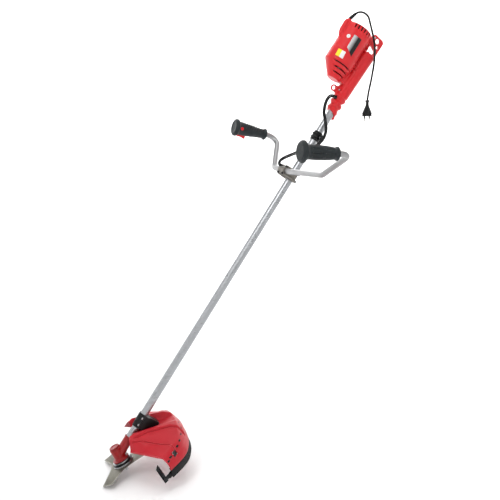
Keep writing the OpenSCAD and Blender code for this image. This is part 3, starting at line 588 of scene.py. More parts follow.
def plug_shape():
    """Flat two-pin plug: collar, waist, flared body and a stepped base."""
    sections = [
        (0, 5, 5), (-0.6, 7.2, 7.2), (-1.6, 8.1, 8.1), (-4, 8.1, 8.1), (-5, 7.2, 7.2), (-5.6, 5.4, 5.4),
        (-9, 5.1, 5.1), (-13, 5.3, 5.2), (-18, 6.2, 5.8), (-24, 8.2, 6.5), (-30, 10.8, 7.0),
        (-36, 13.4, 7.3), (-40.4, 15.2, 7.4), (-42, 16.8, 7.5), (-43.4, 17.4, 7.5), (-46, 17.4, 7.5),
        (-46.6, 16.6, 6.8), (-48, 16.6, 6.8), (-48.6, 17.4, 7.5), (-52.4, 17.4, 7.5), (-53.6, 16.6, 6.9),
        (-54, 15.4, 5.9),
    ]
    loops = []
    for z, a, b in sections:
        power = 2 / (2 + min(2.2, max(0, (a - 6) * 0.3)))
        loop = []
        for j in range(48):
            t = 2 * PI * j / 48
            c = math.cos(t)
            s = math.sin(t)
            loop.append((math.copysign(abs(c) ** power, c) * a, math.copysign(abs(s) ** power, s) * b, z))
        loops.append(loop)
    return rings(loops)


# ---- motor housing ----

AXIS_Z = 74
MOTOR_R = 50
LOOP_W = 12.5
SCREWS = [(290, -17.5, 8), (330, 22, 10.5), (466, -22, 18), (548, 10, 8.5), (404, 27, 17)]


def disc_ring_y(x, z, major, minor, half):
    """Ring round a line along Y, with an oval section."""
    seg = 40
    section = [2 * PI * j / 16 for j in range(16)]
    loops = []
    for i in range(seg):
        a = 2 * PI * i / seg
        loops.append([(x + (major + minor * math.cos(t)) * math.cos(a),
                       half * math.sin(t),
                       z + (major + minor * math.cos(t)) * math.sin(a)) for t in section])
    return torus(loops)


def rounded_outline(corners):
    """Outline round circles (x, z, r) given in turn, anticlockwise."""
    steps = 8
    out = []
    n = len(corners)
    for i, (x, z, r) in enumerate(corners):
        px, pz, pr = corners[i - 1]
        nx, nz, nr = corners[(i + 1) % n]
        a0 = math.atan2(z - pz, x - px) - math.acos((pr - r) / math.hypot(x - px, z - pz))
        a1 = math.atan2(nz - z, nx - x) - math.acos((r - nr) / math.hypot(nx - x, nz - z))
        while a1 < a0:
            a1 += 2 * PI
        out += [(x + r * math.cos(a0 + (a1 - a0) * s / steps), z + r * math.sin(a0 + (a1 - a0) * s / steps))
                for s in range(steps + 1)]
    return out


def sleeve_skin():
    """Grip sleeve round the tube, with slanting waves."""
    loops = []
    for i in range(56):
        k = i / 55
        fade = min(1, 6 * k, 5 * (1 - k))
        loop = []
        for j in range(72):
            a = 2 * PI * j / 72
            mouth = 252 + 9 * math.sin(a)
            x = mouth + (322 - mouth) * k
            wave = math.sin(2 * PI * x / 25 + a + 2.2)
            r = 18.4 + 4.4 * k + 3.8 * fade * (wave if wave > 0 else 0.6 * wave)
            loop.append((x, r * math.cos(a), 2 + r * math.sin(a)))
        loops.append(loop)
    return rings(loops)


def housing_parts():
    parts = [
        lathe_x([(395, 49.4, 74), (397, 50, 74), (438, 50, 74), (442, 49.3, 74), (527, 49.3, 74),
                 (532, 48.4, 74), (535.4, 46, 74), (537, 42, 74)]),
        lathe_x([(346, 21.5, 60), (347.5, 23.4, 60.3), (395, 49.6, 73.8), (397, 50, 74)]),
        lathe_x([(316, 23.5, 0), (480, 29, 0), (486, 28, 0), (489, 24, 0)]),
        sleeve_skin(),
        lathe_x([(234.8, 2.5, -14), (235.6, 5.2, -14), (238, 7.8, -14), (242, 8.8, -13.6), (247, 8.4, -12),
                 (251, 10.5, -9), (258, 15, -4), (268, 19, 1)]),
        box(352, 397, -16.5, 16.5, -5, 44),
        box(396, 478, -15, 15, 12, 34),
        # cord entry pod
        lathe_x([(456, 3, 110), (462, 6.5, 113), (472, 8.5, 117.5), (486, 10.5, 123), (496, 11.4, 125.4),
                 (524, 11.8, 125.4), (532, 10.8, 125), (537, 9, 124), (541, 6.5, 123)]),
        lathe_x([(484, 9, 108), (500, 13.5, 112), (533, 14, 112), (538, 10, 111)]),
        # frame of the rear loop
        prism_y(rounded_outline([(474, -7, 21), (546, -18, 11.5), (549, 10, 10), (482, 28, 8)]),
                -LOOP_W / 2, LOOP_W / 2),
        disc_ring_y(EYE_X, EYE_Z, 9, 2.7, 5),
        prism_y([(313, 10), (316, 36), (320, 38), (332, 38), (338, 33), (352, 20), (352, 10)], -5, 5),
    ]
    # ribs across the valley between the barrel and the spine
    for x in (406, 417, 428, 484, 496, 508):
        parts.append(rings([[(x + s, -24, 17), (x + s, 24, 17), (x + s, 38, 42), (x + s, -38, 42)]
                            for s in (-1.7, 1.7)]))
    # raised line along the spine
    for s in (-1, 1):
        parts.append(rod((330, s * 15.5, 15), (478, s * 19, 19), 5.5, 20))
    return parts


def sector_x(x0, x1, centre, r0, r1, a0, a1, side, steps=20):
    """Block between two radii and two angles above the horizontal, on one side of the tool."""
    loops = []
    for i in range(steps + 1):
        a = math.radians(a0 + (a1 - a0) * i / steps)
        taper = min(1, 0.35 + 2.2 * min(i, steps - i) / steps * 2)
        mid, half = (x0 + x1) / 2, (x1 - x0) / 2 * taper
        loops.append([
            (x, side * r * math.cos(a), centre + r * math.sin(a))
            for x, r in ((mid - half, r0), (mid + half, r0), (mid + half, r1), (mid - half, r1))
        ])
    return rings(loops)


def housing_vents():
    """Slits of the vents on both sides of the barrel."""
    slots = []
    for side in (-1, 1):
        for a in range(-26, 45, 14):
            slots.append(sector_x(517, 536, AXIS_Z, 40, 56, a - 3.2, a + 3.2, side, 4))
        for x, low, high in ((391.5, -40, 50), (377, -55, 43), (363, -68, 32)):
            slots.append(sector_x(x - 2.1, x + 2.1, AXIS_Z, 10, 64, low, high, side))
    return joined(*slots)


def housing_cuts():
    """The motor's room, the belt's room, the bores, the cable ways, the vents and the screw holes."""
    cord_way = moved(lathe_z([(6.15, -8.5), (6.15, 60)], 32), shift(549, 0, 122) @ turn(108, "Y"))
    return [
        lathe_x([(396, 47.2, AXIS_Z), (534.5, 46.5, AXIS_Z)]),
        lathe_x([(349, 21.3, 60.5), (398, 47.2, AXIS_Z)]),
        lathe_x([(352.5, 22.4, 0), (388, 22.4, 0)], 48),
        box(352.6, 387.6, -14, 14, 0, 60),
        lathe_x([(215, 13.02, 0), (300, 13.02, 0)]),
        lathe_x([(299, 5.5, 0), (420, 5.5, 0)], 32),
        joined(*[lathe_x([(x, 11.02, 0), (x + 9, 11.02, 0)], 32) for x in (336, 388)]),
        joined(rod((301, -8, 13), (301, -8, 43), 5.7),
               rod((EYE_X, -20, EYE_Z), (EYE_X, 20, EYE_Z), 6.5, 40), cord_way),
        housing_vents(),
        joined(*[rod((x, -y - 12, z), (x, -y + 3.5, z), 3.4) for x, z, y in SCREWS]),
    ]


def make_housing():
    skin = solid("housing_melt", joined(*housing_parts()), TOOL)
    fuse(skin, 1.15, 2)
    window_outline = rounded_outline([(493, 6.5, 4), (479, -9, 3.5), (507, -13.5, 3.5), (515, 7.5, 3.5)])
    cut(skin, TOOL,
        prism_y(window_outline, -20, 20),
        rod((544.5, -20, -6), (544.5, 20, -6), 9, 32),
        rod((527, -20, -16.5), (527, 20, -16.5), 5.6, 24))
    knob = lathe_z([(0.5, -4), (2.8, -3), (4, 0), (2.8, 3), (0.5, 4)], 24)
    hook = joined(rod((478, 0, -9), (489, 0, -1.5), 3.6), rod((487, 0, -3), (495.5, 0, 1.5), 3.0),
                  moved(knob, shift(495.5, 0, 1.5)))
    absorb(skin, solid("hook", hook, TOOL))
    fuse(skin, 1.1, 3)
    cut(skin, TOOL, *housing_cuts())
    for name, side in (("left", -1), ("right", 1)):
        y0, y1 = sorted((side * 0.12, side * 300))
        half = slice_of(skin, "housing_shell_" + name, box(150, 700, y0, y1, -200, 300), TOOL)
        finish(half, RED, "frame", "housing_" + name, angle=38)
    bpy.data.objects.remove(skin)


def make_housing_screws():
    heads = []
    for x, z, y in SCREWS:
        m = shift(x, -y + 3.5, z) @ turn(90, "X")
        heads.append(moved(lathe_z([(3.1, 0), (3.1, 1.4), (2.6, 2.0), (1.6, 2.2), (1.5, 1.3)], 24), m))
        heads.append(rod((x, -y + 3.6, z), (x, 6, z), 1.65, 16))
    finish(solid("housing_screw_set", joined(*heads), TOOL), STEEL, "frame", "housing_screws")


def cylinder_patch(corners, r0, r1):
    """Thin plate wrapped on the barrel, from four corners of (x, angle) on the left side."""
    n = 24
    m = 16
    loops = []
    for i in range(n + 1):
        k = i / n
        loop = []
        for r, order in ((r1, range(m + 1)), (r0, range(m, -1, -1))):
            for j in order:
                q = j / m
                x = ((1 - k) * ((1 - q) * corners[0][0] + q * corners[3][0])
                     + k * ((1 - q) * corners[1][0] + q * corners[2][0]))
                a = math.radians((1 - k) * ((1 - q) * corners[0][1] + q * corners[3][1])
                                 + k * ((1 - q) * corners[1][1] + q * corners[2][1]))
                loop.append((x, -r * math.cos(a), AXIS_Z + r * math.sin(a)))
        loops.append(loop)
    return rings(loops)


def cylinder_disc(x, angle, radius, r0, r1):
    """Thin round patch wrapped on the barrel."""
    turns = [2 * PI * j / 40 for j in range(40)]

    def place(u, v, r):
        a = math.radians(angle) + v / MOTOR_R
        return (x + u, -r * math.cos(a), AXIS_Z + r * math.sin(a))

    loops = []
    for share, r in ((1, r0), (1, r1 - 0.15), (0.96, r1), (0.5, r1), (0.02, r1)):
        loops.append([place(radius * share * math.cos(t), radius * share * math.sin(t), r) for t in turns])
    return rings(loops)


def plate_material():
    """Black plate that turns to striped silver towards its upper edge."""
    material, tree, shader = node_material("plate_print")
    place = add(tree, "TexCoord", {}).outputs["Object"]
    rise = math.radians(SHAFT_ELEVATION)
    height = add(tree, "VectorMath", {0: place, 1: (-math.sin(rise), 0, math.cos(rise))},
                 operation="DOT_PRODUCT")
    share = add(tree, "MapRange", {"Value": height.outputs["Value"], "From Min": 0.030, "From Max": 0.057})
    shade = ramp(tree, share.outputs["Result"], (0.42, (0.008, 0.008, 0.009)), (0.9, (0.8, 0.8, 0.82)))
    slant = add(tree, "Mapping", {"Vector": place, "Rotation": (0, math.radians(-25), 0)})
    wave = add(tree, "TexWave", {"Vector": slant.outputs["Vector"], "Scale": 90, "Distortion": 0})
    bands = add(tree, "MapRange", {"Value": wave.outputs["Fac"], "To Min": 0.55, "To Max": 1})
    mixed = add(tree, "Mix", {0: 1, 6: shade, 7: bands.outputs["Result"]},
                data_type="RGBA", blend_type="MULTIPLY")
    fine = add(tree, "TexNoise", {"Vector": place, "Scale": 1200})
    gloss = add(tree, "MapRange", {"Value": fine.outputs["Fac"], "To Min": 0.22, "To Max": 0.38})
    tree.links.new(mixed.outputs[2], shader.inputs["Base Color"])
    tree.links.new(gloss.outputs["Result"], shader.inputs["Roughness"])
    shader.inputs["Metallic"].default_value = 0.35
    return material


def make_labels():
    plate = [(427, -5), (495, -5), (495, 30), (447, 29)]
    finish(bevel(solid("rating_plate", cylinder_patch(plate, 48.8, 50.2), TOOL), 0.25),
           plate_material(), "frame", "name_plate")
    lower = [(405, 20), (430, 22), (430, 38), (405.5, 36.5)]
    upper = [(405.5, 36.5), (430, 38), (430, 54), (406, 53)]
    finish(solid("sticker_white", cylinder_patch(lower, 49.4, 50.35), TOOL), WHITE, "frame", "labels")
    finish(solid("sticker_yellow", cylinder_patch(upper, 49.4, 50.35), TOOL), YELLOW, "frame")
    finish(solid("round_sticker", cylinder_disc(482, 47, 6.6, 48.9, 49.75), TOOL), WHITE, "frame")
    finish(solid("round_sticker_dot", cylinder_disc(482, 47, 1.7, 49.5, 49.9), TOOL), DARK_RING, "frame")


# ---- shaft, band and cable ----

def along_x(x):
    return shift(x, 0, 0) @ turn(90, "Y")


def make_shaft():
    length = 1350
    profile = [(13, 0.6), (13, length - 0.6), (12.4, length), (11.5, length), (11.5, 0), (12.4, 0)]
    tube = solid("shaft_pipe", moved(tube_z(profile, 96), along_x(-1050)), TOOL, weld=1e-6)
    finish(tube, TUBE, "frame", "shaft_tube")


def make_band():
    w = 33
    profile = [(13.05, 0), (15.4, 0), (16, 0.6), (16, 7.5), (18, 8.3), (18, 11.8), (16, 12.6), (15.6, 16.5),
               (16, 20.2), (18, 21), (18, 24.5), (16, 25.3), (16, w - 0.6), (15.4, w), (13.05, w)]
    ring = moved(tube_z(profile, 72), along_x(141))
    lug = box(149, 166, -31, -13, -11.5, -4.5)
    finish(bevel(solid("cable_band_ring", ring, TOOL, weld=1e-6), 0.3), BLACK, "frame", "cable_band")
    clip = tube_z([(5.7, 0), (7.4, 0), (7.4, 17), (5.7, 17)], 32)
    clip = moved(clip, shift(149, -33.3, -8) @ turn(90, "Y"))
    clip_piece = solid("cable_clip", clip, TOOL, weld=1e-6)
    finish(bevel(clip_piece, 0.4), BLACK, "frame")
    finish(bevel(solid("cable_clip_arm", lug, TOOL), 1.2), BLACK, "frame")
    screw = moved(lathe_z([(3, 0), (3, 2), (2.4, 2.8), (1.4, 2.9), (1.3, 1.8)], 24),
                  shift(157.5, -20, -4.6))
    finish(solid("cable_clip_screw", screw, TOOL), STEEL, "frame")


CABLE_ROUTE = [
    (301, -8, 16), (301, -8, 28), (294, -12, 40), (281, -16, 46), (259, -22, 46), (233, -26, 36),
    (216, -28, 20), (192, -32, 0), (170, -34, -8), (143, -33, -8), (120, -27, -1), (92, -10, 20),
    (64, 12, 34), (44, 27, 44), (28, 34, 50), (16, 32, 50), (11, 26, 46), (11, 21.5, 45),
]


def make_control_cable():
    """Two cores side by side, clipped to the shaft on the way."""
    path = spline(CABLE_ROUTE, 10)
    outwards = Vector((0, -1, 0.2))
    upwards = Vector((0, 0, 1))
    sides = []
    for i, t in enumerate(directions(path)):
        share = share_of((i / len(path) - 0.72) / 0.2)
        sides.append(t.cross(outwards.lerp(upwards, share)).normalized())
    strands = [sweep([p + s * offset for p, s in zip(path, sides)], 2.75, 18) for offset in (-2.8, 2.8)]
    cable = finish(solid("control_lead", joined(*strands), TOOL), SHEATH, "frame", "control_cable")
    profile = [(5.65, 0), (7.6, 0), (8, 1.4), (7.2, 3), (5.65, 3.2)]
    grommet = moved(tube_z(profile, 40), shift(301, -8, 19.5))
    finish(solid("cable_grommet", grommet, TOOL, weld=1e-6), BLACK, "frame")
    end = rod((11, 27, 46.5), (11, 20.5, 44.8), 5.9, 24, r_end=6.3)
    finish(bevel(solid("cable_end_boot", end, TOOL), 0.8), BLACK, "frame")


# ---- handlebar ----

def make_bars():
    for side, corners, bends in (("left", LEFT_BAR, [60, 34, 24]), ("right", RIGHT_BAR, [34, 34])):
        corners = [(0, math.copysign(3, corners[0][1]), 36)] + list(corners[1:])
        pipe = sweep(bent(corners, bends, 14), 9.45, 48, bore=8)
        bar = solid(side + "_bar_pipe", pipe, TOOL, weld=1e-6)
        finish(bar, BAR, side + "_bar", side + "_handlebar")


CLAMP_BOLTS = [(x, y) for x in (-13, 13) for y in (-17, 17)]
BAR_Z = 36


def make_clamp():
    body = solid("clamp_melt", joined(
        moved(lathe_z([(17, 0), (17.5, 1), (17.5, 34), (17, 35)], 64), along_x(-17.5)),
        moved(lathe_z([(13, 0), (13.8, 1), (13.8, 42), (13, 43)], 48),
              shift(0, 21.5, BAR_Z) @ turn(90, "X")),
        box(-12, 12, -15, 15, 5, 34),
        *[rod((x, y, -11), (x, y, 41.5), 5.8, 32) for x, y in CLAMP_BOLTS]), TOOL)
    fuse(body, 0.9, 5)
    cut(body, TOOL,
        moved(lathe_z([(13.03, -60), (13.03, 60)], 64), turn(90, "Y")),
        moved(lathe_z([(9.53, -60), (9.53, 60)], 64), shift(0, 0, BAR_Z) @ turn(90, "X")),
        joined(*[rod((x, y, 41.4), (x, y, 80), 4.7, 32) for x, y in CLAMP_BOLTS]),
        joined(*[rod((x, y, -50), (x, y, 60), 2.6, 24) for x, y in CLAMP_BOLTS]))
    for name, z0, z1, node in (("clamp_lower", -80, 35.6, "bar_clamp_base"),
                               ("clamp_upper", 36.4, 90, "bar_clamp_cap")):
        piece = slice_of(body, name, box(-60, 60, -60, 60, z0, z1), TOOL)
        finish(piece, CAST, "frame", node)
    bpy.data.objects.remove(body)
    make_clamp_bolts()


def make_clamp_bolts():
    bolts = []
    for x, y in CLAMP_BOLTS:
        bolts += [rod((x, y, -17), (x, y, 42), 2.5, 24),
                  moved(lathe_z([(4.2, 0), (4.2, 4.3), (3.6, 5)], 32), shift(x, y, 41.5)),
                  moved(lathe_z([(3.9, 0), (4.4, 0.5), (4.4, 4.6), (3.9, 5)], 6), shift(x, y, -16.5))]
    sockets = [moved(lathe_z([(2, 0), (2, 5)], 6), shift(x, y, 44)) for x, y in CLAMP_BOLTS]
    screws = solid("clamp_bolts", joined(*bolts), TOOL)
    cut(screws, TOOL, joined(*sockets))
    finish(screws, BLACK_STEEL, "frame", "bar_clamp_bolts", angle=30)


def profile_radius(profile, z):
    for (r0, z0), (r1, z1) in zip(profile, profile[1:]):
        if z0 <= z <= z1:
            k = (z - z0) / max(1e-6, z1 - z0)
            k = k * k * (3 - 2 * k)
            return r0 + (r1 - r0) * k
    return profile[-1][0]


GRIP_SEG = 144


def grip_skin(profile, relief):
    """Grip turned from a profile, with a relief added as a function of height and angle."""
    z0 = profile[0][1]
    z1 = profile[-1][1]
    steps = round(z1 - z0)
    heights = {round(z0 + (z1 - z0) * i / steps, 3) for i in range(steps + 1)} | {h for _, h in profile}
    loops = []
    for z in sorted(heights):
        loop = []
        for j in range(GRIP_SEG):
            a = 2 * PI * j / GRIP_SEG
            r = profile_radius(profile, z) + relief(z, a)
            loop.append((r * math.cos(a), r * math.sin(a), z))
        loops.append(loop)
    return loops


def window(z, z0, z1, soft):
    """1 between two bounds and 0 outside them, with soft edges."""
    return share_of(min((z - z0) / soft, (z1 - z) / soft))


def left_relief(z, a):
    """Grooves along the grip, in two lengths."""
    row = share_of((math.cos(10 * a) - 0.6) * 5)
    lengths = max(window(z, 18, 50, 2.5), window(z, 58, 92, 2.5))
    return -1.9 * row * lengths


def make_left_grip():
    profile = [(17.6, 0), (19, 0.8), (21, 3), (21, 5), (19.2, 8), (18.3, 11), (20.2, 30), (21.6, 48),
               (22.3, 70), (22, 92), (22.4, 99), (24.5, 105.5), (30.5, 109.5), (32.7, 111.5), (33, 113),
               (33, 116), (32.2, 118), (29.5, 121.6), (27, 122.6)]
    loops = grip_skin(profile, left_relief)
    # end face with upright grooves
    for i in range(1, 27):
        r = 27 - i
        loop = []
        for j in range(GRIP_SEG):
            a = 2 * PI * j / GRIP_SEG
            x = r * math.cos(a)
            groove = max(0, 1 - abs((x + 60) % 7 - 3.5) / 0.9) if r < 24 else 0
            loop.append((x, r * math.sin(a), 122.8 + min(1, i * 0.4) - 1.0 * min(1, groove * 1.6)))
        loops.append(loop)
    grip = solid("left_grip_rubber", rings(loops), GRIP_L)
    cut(grip, GRIP_L, lathe_z([(9.53, -5), (9.53, 113)], 48))
    finish(grip, SLATE, "left_bar", "left_grip", angle=50)


def right_relief(z, a):
    """Slanting ribs over the palm's side, which faces away from the trigger."""
    off = (a - 1.5 * PI + PI) % (2 * PI) - PI
    patch = window(off, -1.5, 1.5, 0.25) * window(z, 12, 84, 4)
    rib = math.sin(2 * PI * (z / 9.5 + 0.9 * off))
    return -1.6 * patch * share_of((rib - 0.2) * 3)


GRIP_SCREWS = [(10, 9.6), (62, 15.4)]
GRIP_SCREW_Y = -13.4


def make_switch_grip():
    profile = [(17.8, -3), (19, -2.4), (20.5, 0), (20.5, 2), (18.6, 5), (16.6, 8.5), (17.4, 22), (18.8, 36),
               (21, 56), (22.6, 74), (23.4, 90), (23.8, 102), (25, 105.5), (28.6, 108.6), (30, 111),
               (30, 115), (28.8, 118), (25, 120.4), (22, 121)]
    loops = grip_skin(profile, right_relief)
    loops += [circle(r, z, GRIP_SEG) for r, z in ((18, 121), (17, 120.2), (10, 120.2), (3, 120.2))]
    grip = solid("switch_grip_melt", rings(loops), GRIP_R)
    y = GRIP_SCREW_Y
    cut(grip, GRIP_R,
        lathe_z([(9.53, -10), (9.53, 52)], 48),
        box(-12, 12, -15, 15, 58, 106),
        box(-5, 5, 10, 40, 68, 106),
        rod((-40, 0, 98), (0, 0, 98), 5.35, 32),
        rod((-8, 17, 104), (8, 17, 104), 2.05, 24),
        joined(*[rod((-40, y, z), (-r, y, z), 3.2, 24) for z, r in GRIP_SCREWS]),
        joined(*[rod((-12, y, z), (14, y, z), 1.6, 16) for z, _ in GRIP_SCREWS]))
    for name, side in (("left", -1), ("right", 1)):
        x0, x1 = sorted((side * 0.1, side * 100))
        half = slice_of(grip, "switch_grip_shell_" + name, box(x0, x1, -100, 100, -50, 200), GRIP_R)
        finish(half, SLATE, "right_bar", "switch_grip_" + name, angle=50)
    bpy.data.objects.remove(grip)
    heads = []
    for z, r in GRIP_SCREWS:
        m = shift(-r, y, z) @ turn(-90, "Y")
        heads.append(moved(lathe_z([(2.9, 0), (2.9, 1.2), (2.3, 1.9), (1.3, 2), (1.2, 1)], 24), m))
        heads.append(rod((-r + 0.1, y, z), (11, y, z), 1.55, 16))
    finish(solid("switch_grip_screws", joined(*heads), GRIP_R), BLACK_STEEL, "right_bar", "grip_screws")


def make_lock_button():
    """Round button with a dished face and a collar inside the grip."""
    shape = lathe_z([(1, 0.2), (3.2, 0.5), (3.4, 0.0), (4.2, 0.05), (4.9, 0.4), (5.1, 0.9),
                     (5.15, 1.4), (5.15, 15.2), (6.4, 15.3), (6.4, 17.4), (5.2, 17.6), (5.1, 17)], 40)
    m = shift(-27, 0, 98) @ turn(90, "Y")
    finish(solid("lock_button_cap", moved(shape, m), GRIP_R), CONTROL_RED, "lock_button", "lock_button")


# ---- guard ----

GUARD_SHIFT = 7
LEFT_ANGLE = 58
RIGHT_ANGLE = 48
RIM_Z = 25
BIG_SLOT = -46
RIM_SLOTS = [(-8, 0.755), (-15.5, 0.778), (-23.3, 0.775), (-32, 0.771), (-39, 0.78), (BIG_SLOT, 0.828),
             (-52, 0.815), (-56, 0.84), (8, 0.755), (16, 0.775), (24, 0.775), (32, 0.77), (40, 0.766)]
# creases as (share of the way to the rim, angle), and the shoulders' height as (share, millimetres)
UPPER_CREASE = [(0, -38), (0.26, -18), (0.6, -14), (0.83, -19), (1, -22)]
LOWER_CREASE = [(0, -46), (0.21, -38), (0.65, -40), (0.83, -44), (1, -46)]
FAR_CREASE = [(0, 30), (0.26, 17), (0.6, 14), (0.83, 18), (1, 20)]
NEAR_LOBE = [(0, 28), (0.12, 17), (0.3, 12), (0.6, 7), (0.8, 0), (1, 0)]
FAR_LOBE = [(0, 50), (0.15, 40), (0.4, 29), (0.6, 20), (0.7, 9), (0.8, 0), (1, 0)]
ROLL_AT = 0.7
ROLL_R = 26


def blend_value(a, b, k):
    return a + (b - a) * k


def step_soft(x, width):
    """0 before a step and 1 after it, eased over a width."""
    k = share_of(x / width + 0.5)
    return k * k * (3 - 2 * k)


def guard_height(k, a):
    drop = 33 * (-a / LEFT_ANGLE) ** 1.7 if a < 0 else 38 * (a / RIGHT_ANGLE) ** 1.7
    top = 90 - 8 * k - drop * (1 - 0.55 * k)
    if k < ROLL_AT:
        return top
    return blend_value(top, RIM_Z, ((k - ROLL_AT) / 0.3) ** 1.25)


def guard_reach(a):
    """Radius of the front edge and of the rim."""
    return 64 - 15 * step_soft(-a - 14, 16), 228 - 12 * step_soft(-a - 44, 26)


def guard_radius(k, a):
    """Radius of the shell at a share k of the way from its front edge to the rim."""
    start, end = guard_reach(a)
    if k < ROLL_AT:
        return blend_value(start, end - ROLL_R, k / ROLL_AT)
    return blend_value(end - ROLL_R, end, math.sin(PI / 2 * (k - ROLL_AT) / 0.3))


def guard_share(r, a):
    """The share k at which the shell has a radius."""
    start, end = guard_reach(a)
    if r < end - ROLL_R:
        return ROLL_AT * (r - start) / (end - ROLL_R - start)
    return ROLL_AT + 0.6 / PI * math.asin(min(1, (r - end + ROLL_R) / ROLL_R))


def crease_distance(k, a, r):
    """Nearest crease, in millimetres along the surface."""
    return min(abs((a - line_at(crease, k)) * r * PI / 180 + 3)
               for crease in (UPPER_CREASE, LOWER_CREASE))


def line_at(points, k):
    for (k0, a0), (k1, a1) in zip(points, points[1:]):
        if k0 <= k <= k1:
            return blend_value(a0, a1, (k - k0) / (k1 - k0))
    return points[-1][1]


def guard_relief(k, a):
    """A raised hood behind the shaft and a sunken panel beside the cutter, both with crisp edges."""
    fade = window(k, 0.02, 0.88, 0.05)
    r = guard_radius(k, a) * PI / 180
    upper = step_soft((a - line_at(UPPER_CREASE, k)) * r, 3)
    far = step_soft((line_at(FAR_CREASE, k) - a) * r, 3)
    lower = step_soft((line_at(LOWER_CREASE, k) - a) * r, 3)
    groove = max(0, 1 - crease_distance(k, a, guard_radius(k, a)) / 3)
    return fade * (1.8 + 4.6 * upper * far + 3.2 * lower - 3 * groove)


def guard_lobe(k, a, y):
    """How far the shoulders beside the shaft stand above the hood."""
    inner = step_soft(abs(y) - 21, 14)
    outer = 1 - step_soft(abs(y) - 78, 66)
    if y < 0:
        outer *= 1 - step_soft(-a - 50, 14)
    return line_at(FAR_LOBE if y > 0 else NEAR_LOBE, k) * inner * outer


def guard_surface(k, a, inset, relief):
    r = guard_radius(k, a) - inset * k ** 4
    z = guard_height(k, a) - inset * (1 - k ** 6) + guard_lobe(k, a, r * math.sin(math.radians(a)))
    if relief:
        lift = guard_relief(k, a)
        r += lift * k ** 4
        z += lift * (1 - k ** 6)
    t = math.radians(a)
    return (GUARD_SHIFT + r * math.cos(t), r * math.sin(t), z)


def cut_rim_slots(shell):
    """Slots along the rim, each with the black tab of the skirt behind it."""
    slots = []
    tabs = []
    for a, k0 in RIM_SLOTS:
        p = Vector(guard_surface(k0, a, 0, True))
        q = Vector(guard_surface(k0 + 0.02, a, 0, True))
        s = Vector(guard_surface(k0, a + 1, 0, True))
        m = frame_at(p, (q - p).cross(s - p), q - p)
        u, v = (8.5, 9.5) if a == BIG_SLOT else (3.5, 6)
        slots.append(moved(box(-u, u, -v, v, -9, 9), m))
        tabs.append(moved(box(-u + 0.15, u - 0.15, -v + 0.15, v - 0.15, -4.5, -1.3), m))
    cut(shell, GUARD, joined(*slots))
    finish(bevel(solid("rim_tabs", joined(*tabs), GUARD), 0.5), BLACK, "frame")


def paint_shade_in_creases(shell):
    """Paints shade into the creases: the faces there get a darker red that stands in for the shadow in their
    steps.
    """
    shell.data.materials.append(PAINTED_CREASE_SHADE)
    to_guard = GUARD.inverted()
    for face in shell.data.polygons:
        c = to_guard @ face.center
        up = (to_guard.to_3x3() @ face.normal).z
        a = math.degrees(math.atan2(c.y, c.x - GUARD_SHIFT))
        r = math.hypot(c.x - GUARD_SHIFT, c.y)
        k = guard_share(r, a)
        # Faces in a crease get the painted shade.
        if up > 0 and 0.05 < k < 0.86 and crease_distance(k, a, r) < 1.9:
            face.material_index = 1


def make_guard():
    rows = 110
    columns = 280
    across = [blend_value(-LEFT_ANGLE, RIGHT_ANGLE, j / columns) for j in range(columns + 1)]
    loops = []
    for i in range(rows + 1):
        k = i / rows
        loops.append([guard_surface(k, a, 0, True) for a in across]
                     + [guard_surface(k, a, 2.6, False) for a in reversed(across)])
    shell = solid("guard_shell", rings(loops), GUARD)
    cut(shell, TOOL, lathe_x([(-1100, 13.5, 0), (-930, 13.5, 0)], 48))
    cut_rim_slots(shell)
    bevel(shell, 0.35, angle=50)
    finish(shell, GUARD_RED, "frame", "guard", angle=28)
    paint_shade_in_creases(shell)


def make_skirt():
    """Rubber apron inside the rim, ribbed on its outer face."""
    loops = []
    total = LEFT_ANGLE + RIGHT_ANGLE
    steps = total * 5
    for i in range(steps + 1):
        a = math.radians(-LEFT_ANGLE + total * i / steps)
        rib = 0.7 * max(0, math.sin(2 * PI * i / 5)) ** 2
        r0 = guard_radius(1, math.degrees(a)) - 7
        points = [(5.2, -1), (5.8, -1.6), (8.4, -1.6), (9.2 + rib, -0.6), (6 + rib, 22), (2.5, 31), (0, 31),
                  (3.4, 22)]
        loops.append([(GUARD_SHIFT + (r0 + r) * math.cos(a), (r0 + r) * math.sin(a), z) for r, z in points])
    finish(solid("rim_skirt", rings(loops), GUARD), BLACK, "frame", "guard_skirt", angle=40)


SKIRT_END = GUARD @ shift(GUARD_SHIFT, 0, 0) @ turn(-LEFT_ANGLE, "Z")


def make_line_cutter():
    """Plate on the skirt that turns up into a leaning blade in front of the guard's end."""
    loops = []
    for a in (9, 6, 3, 0):
        c = math.cos(math.radians(a))
        s = math.sin(math.radians(a))
        loops.append([(r * c, r * s, z) for r, z in ((206.5, -3), (208.6, -3), (208.6, 17), (206.5, 17))])
    for y, low in ((-6, -3), (-6.01, 0), (-17, 0), (-17.01, -4), (-31, -4)):
        loops.append([(206.5, y, low), (208.6, y, low), (208.6, y, 15), (206.5, y, 15)])
    arm = rings([[(206.5, -31, -4), (208.6, -31, -4), (208.6, -16, -4), (206.5, -16, -4)],
                 [(182.3, -31, 41), (184.4, -31, 41), (180.1, -16, 49), (178, -16, 49)]])
    plate = solid("line_cutter_plate", joined(rings(loops), arm), SKIRT_END)
    finish(bevel(plate, 0.3), BLACK_STEEL, "frame", "line_cutter")
    heads = []
    for a in (3, 7):
        m = turn(a, "Z") @ shift(206.4, 0, 8) @ turn(-90, "Y")
        heads.append(moved(lathe_z([(3, 0), (3, 1.4), (2.4, 2.2), (1.3, 2.3), (1.2, 1.2)], 24), m))
    finish(solid("line_cutter_screws", joined(*heads), SKIRT_END), STEEL, "frame", "cutter_screws")


# ---- gear head ----

def ribbed_circle(r, z, depth, ribs, slope, width, seg):
    """Circle with ribs standing out of it."""
    loop = []
    for j in range(seg):
        a = 2 * PI * j / seg
        r_here = r + depth * share_of(slope * math.cos(ribs * a) + width)
        loop.append((r_here * math.cos(a), r_here * math.sin(a), z))
    return loop


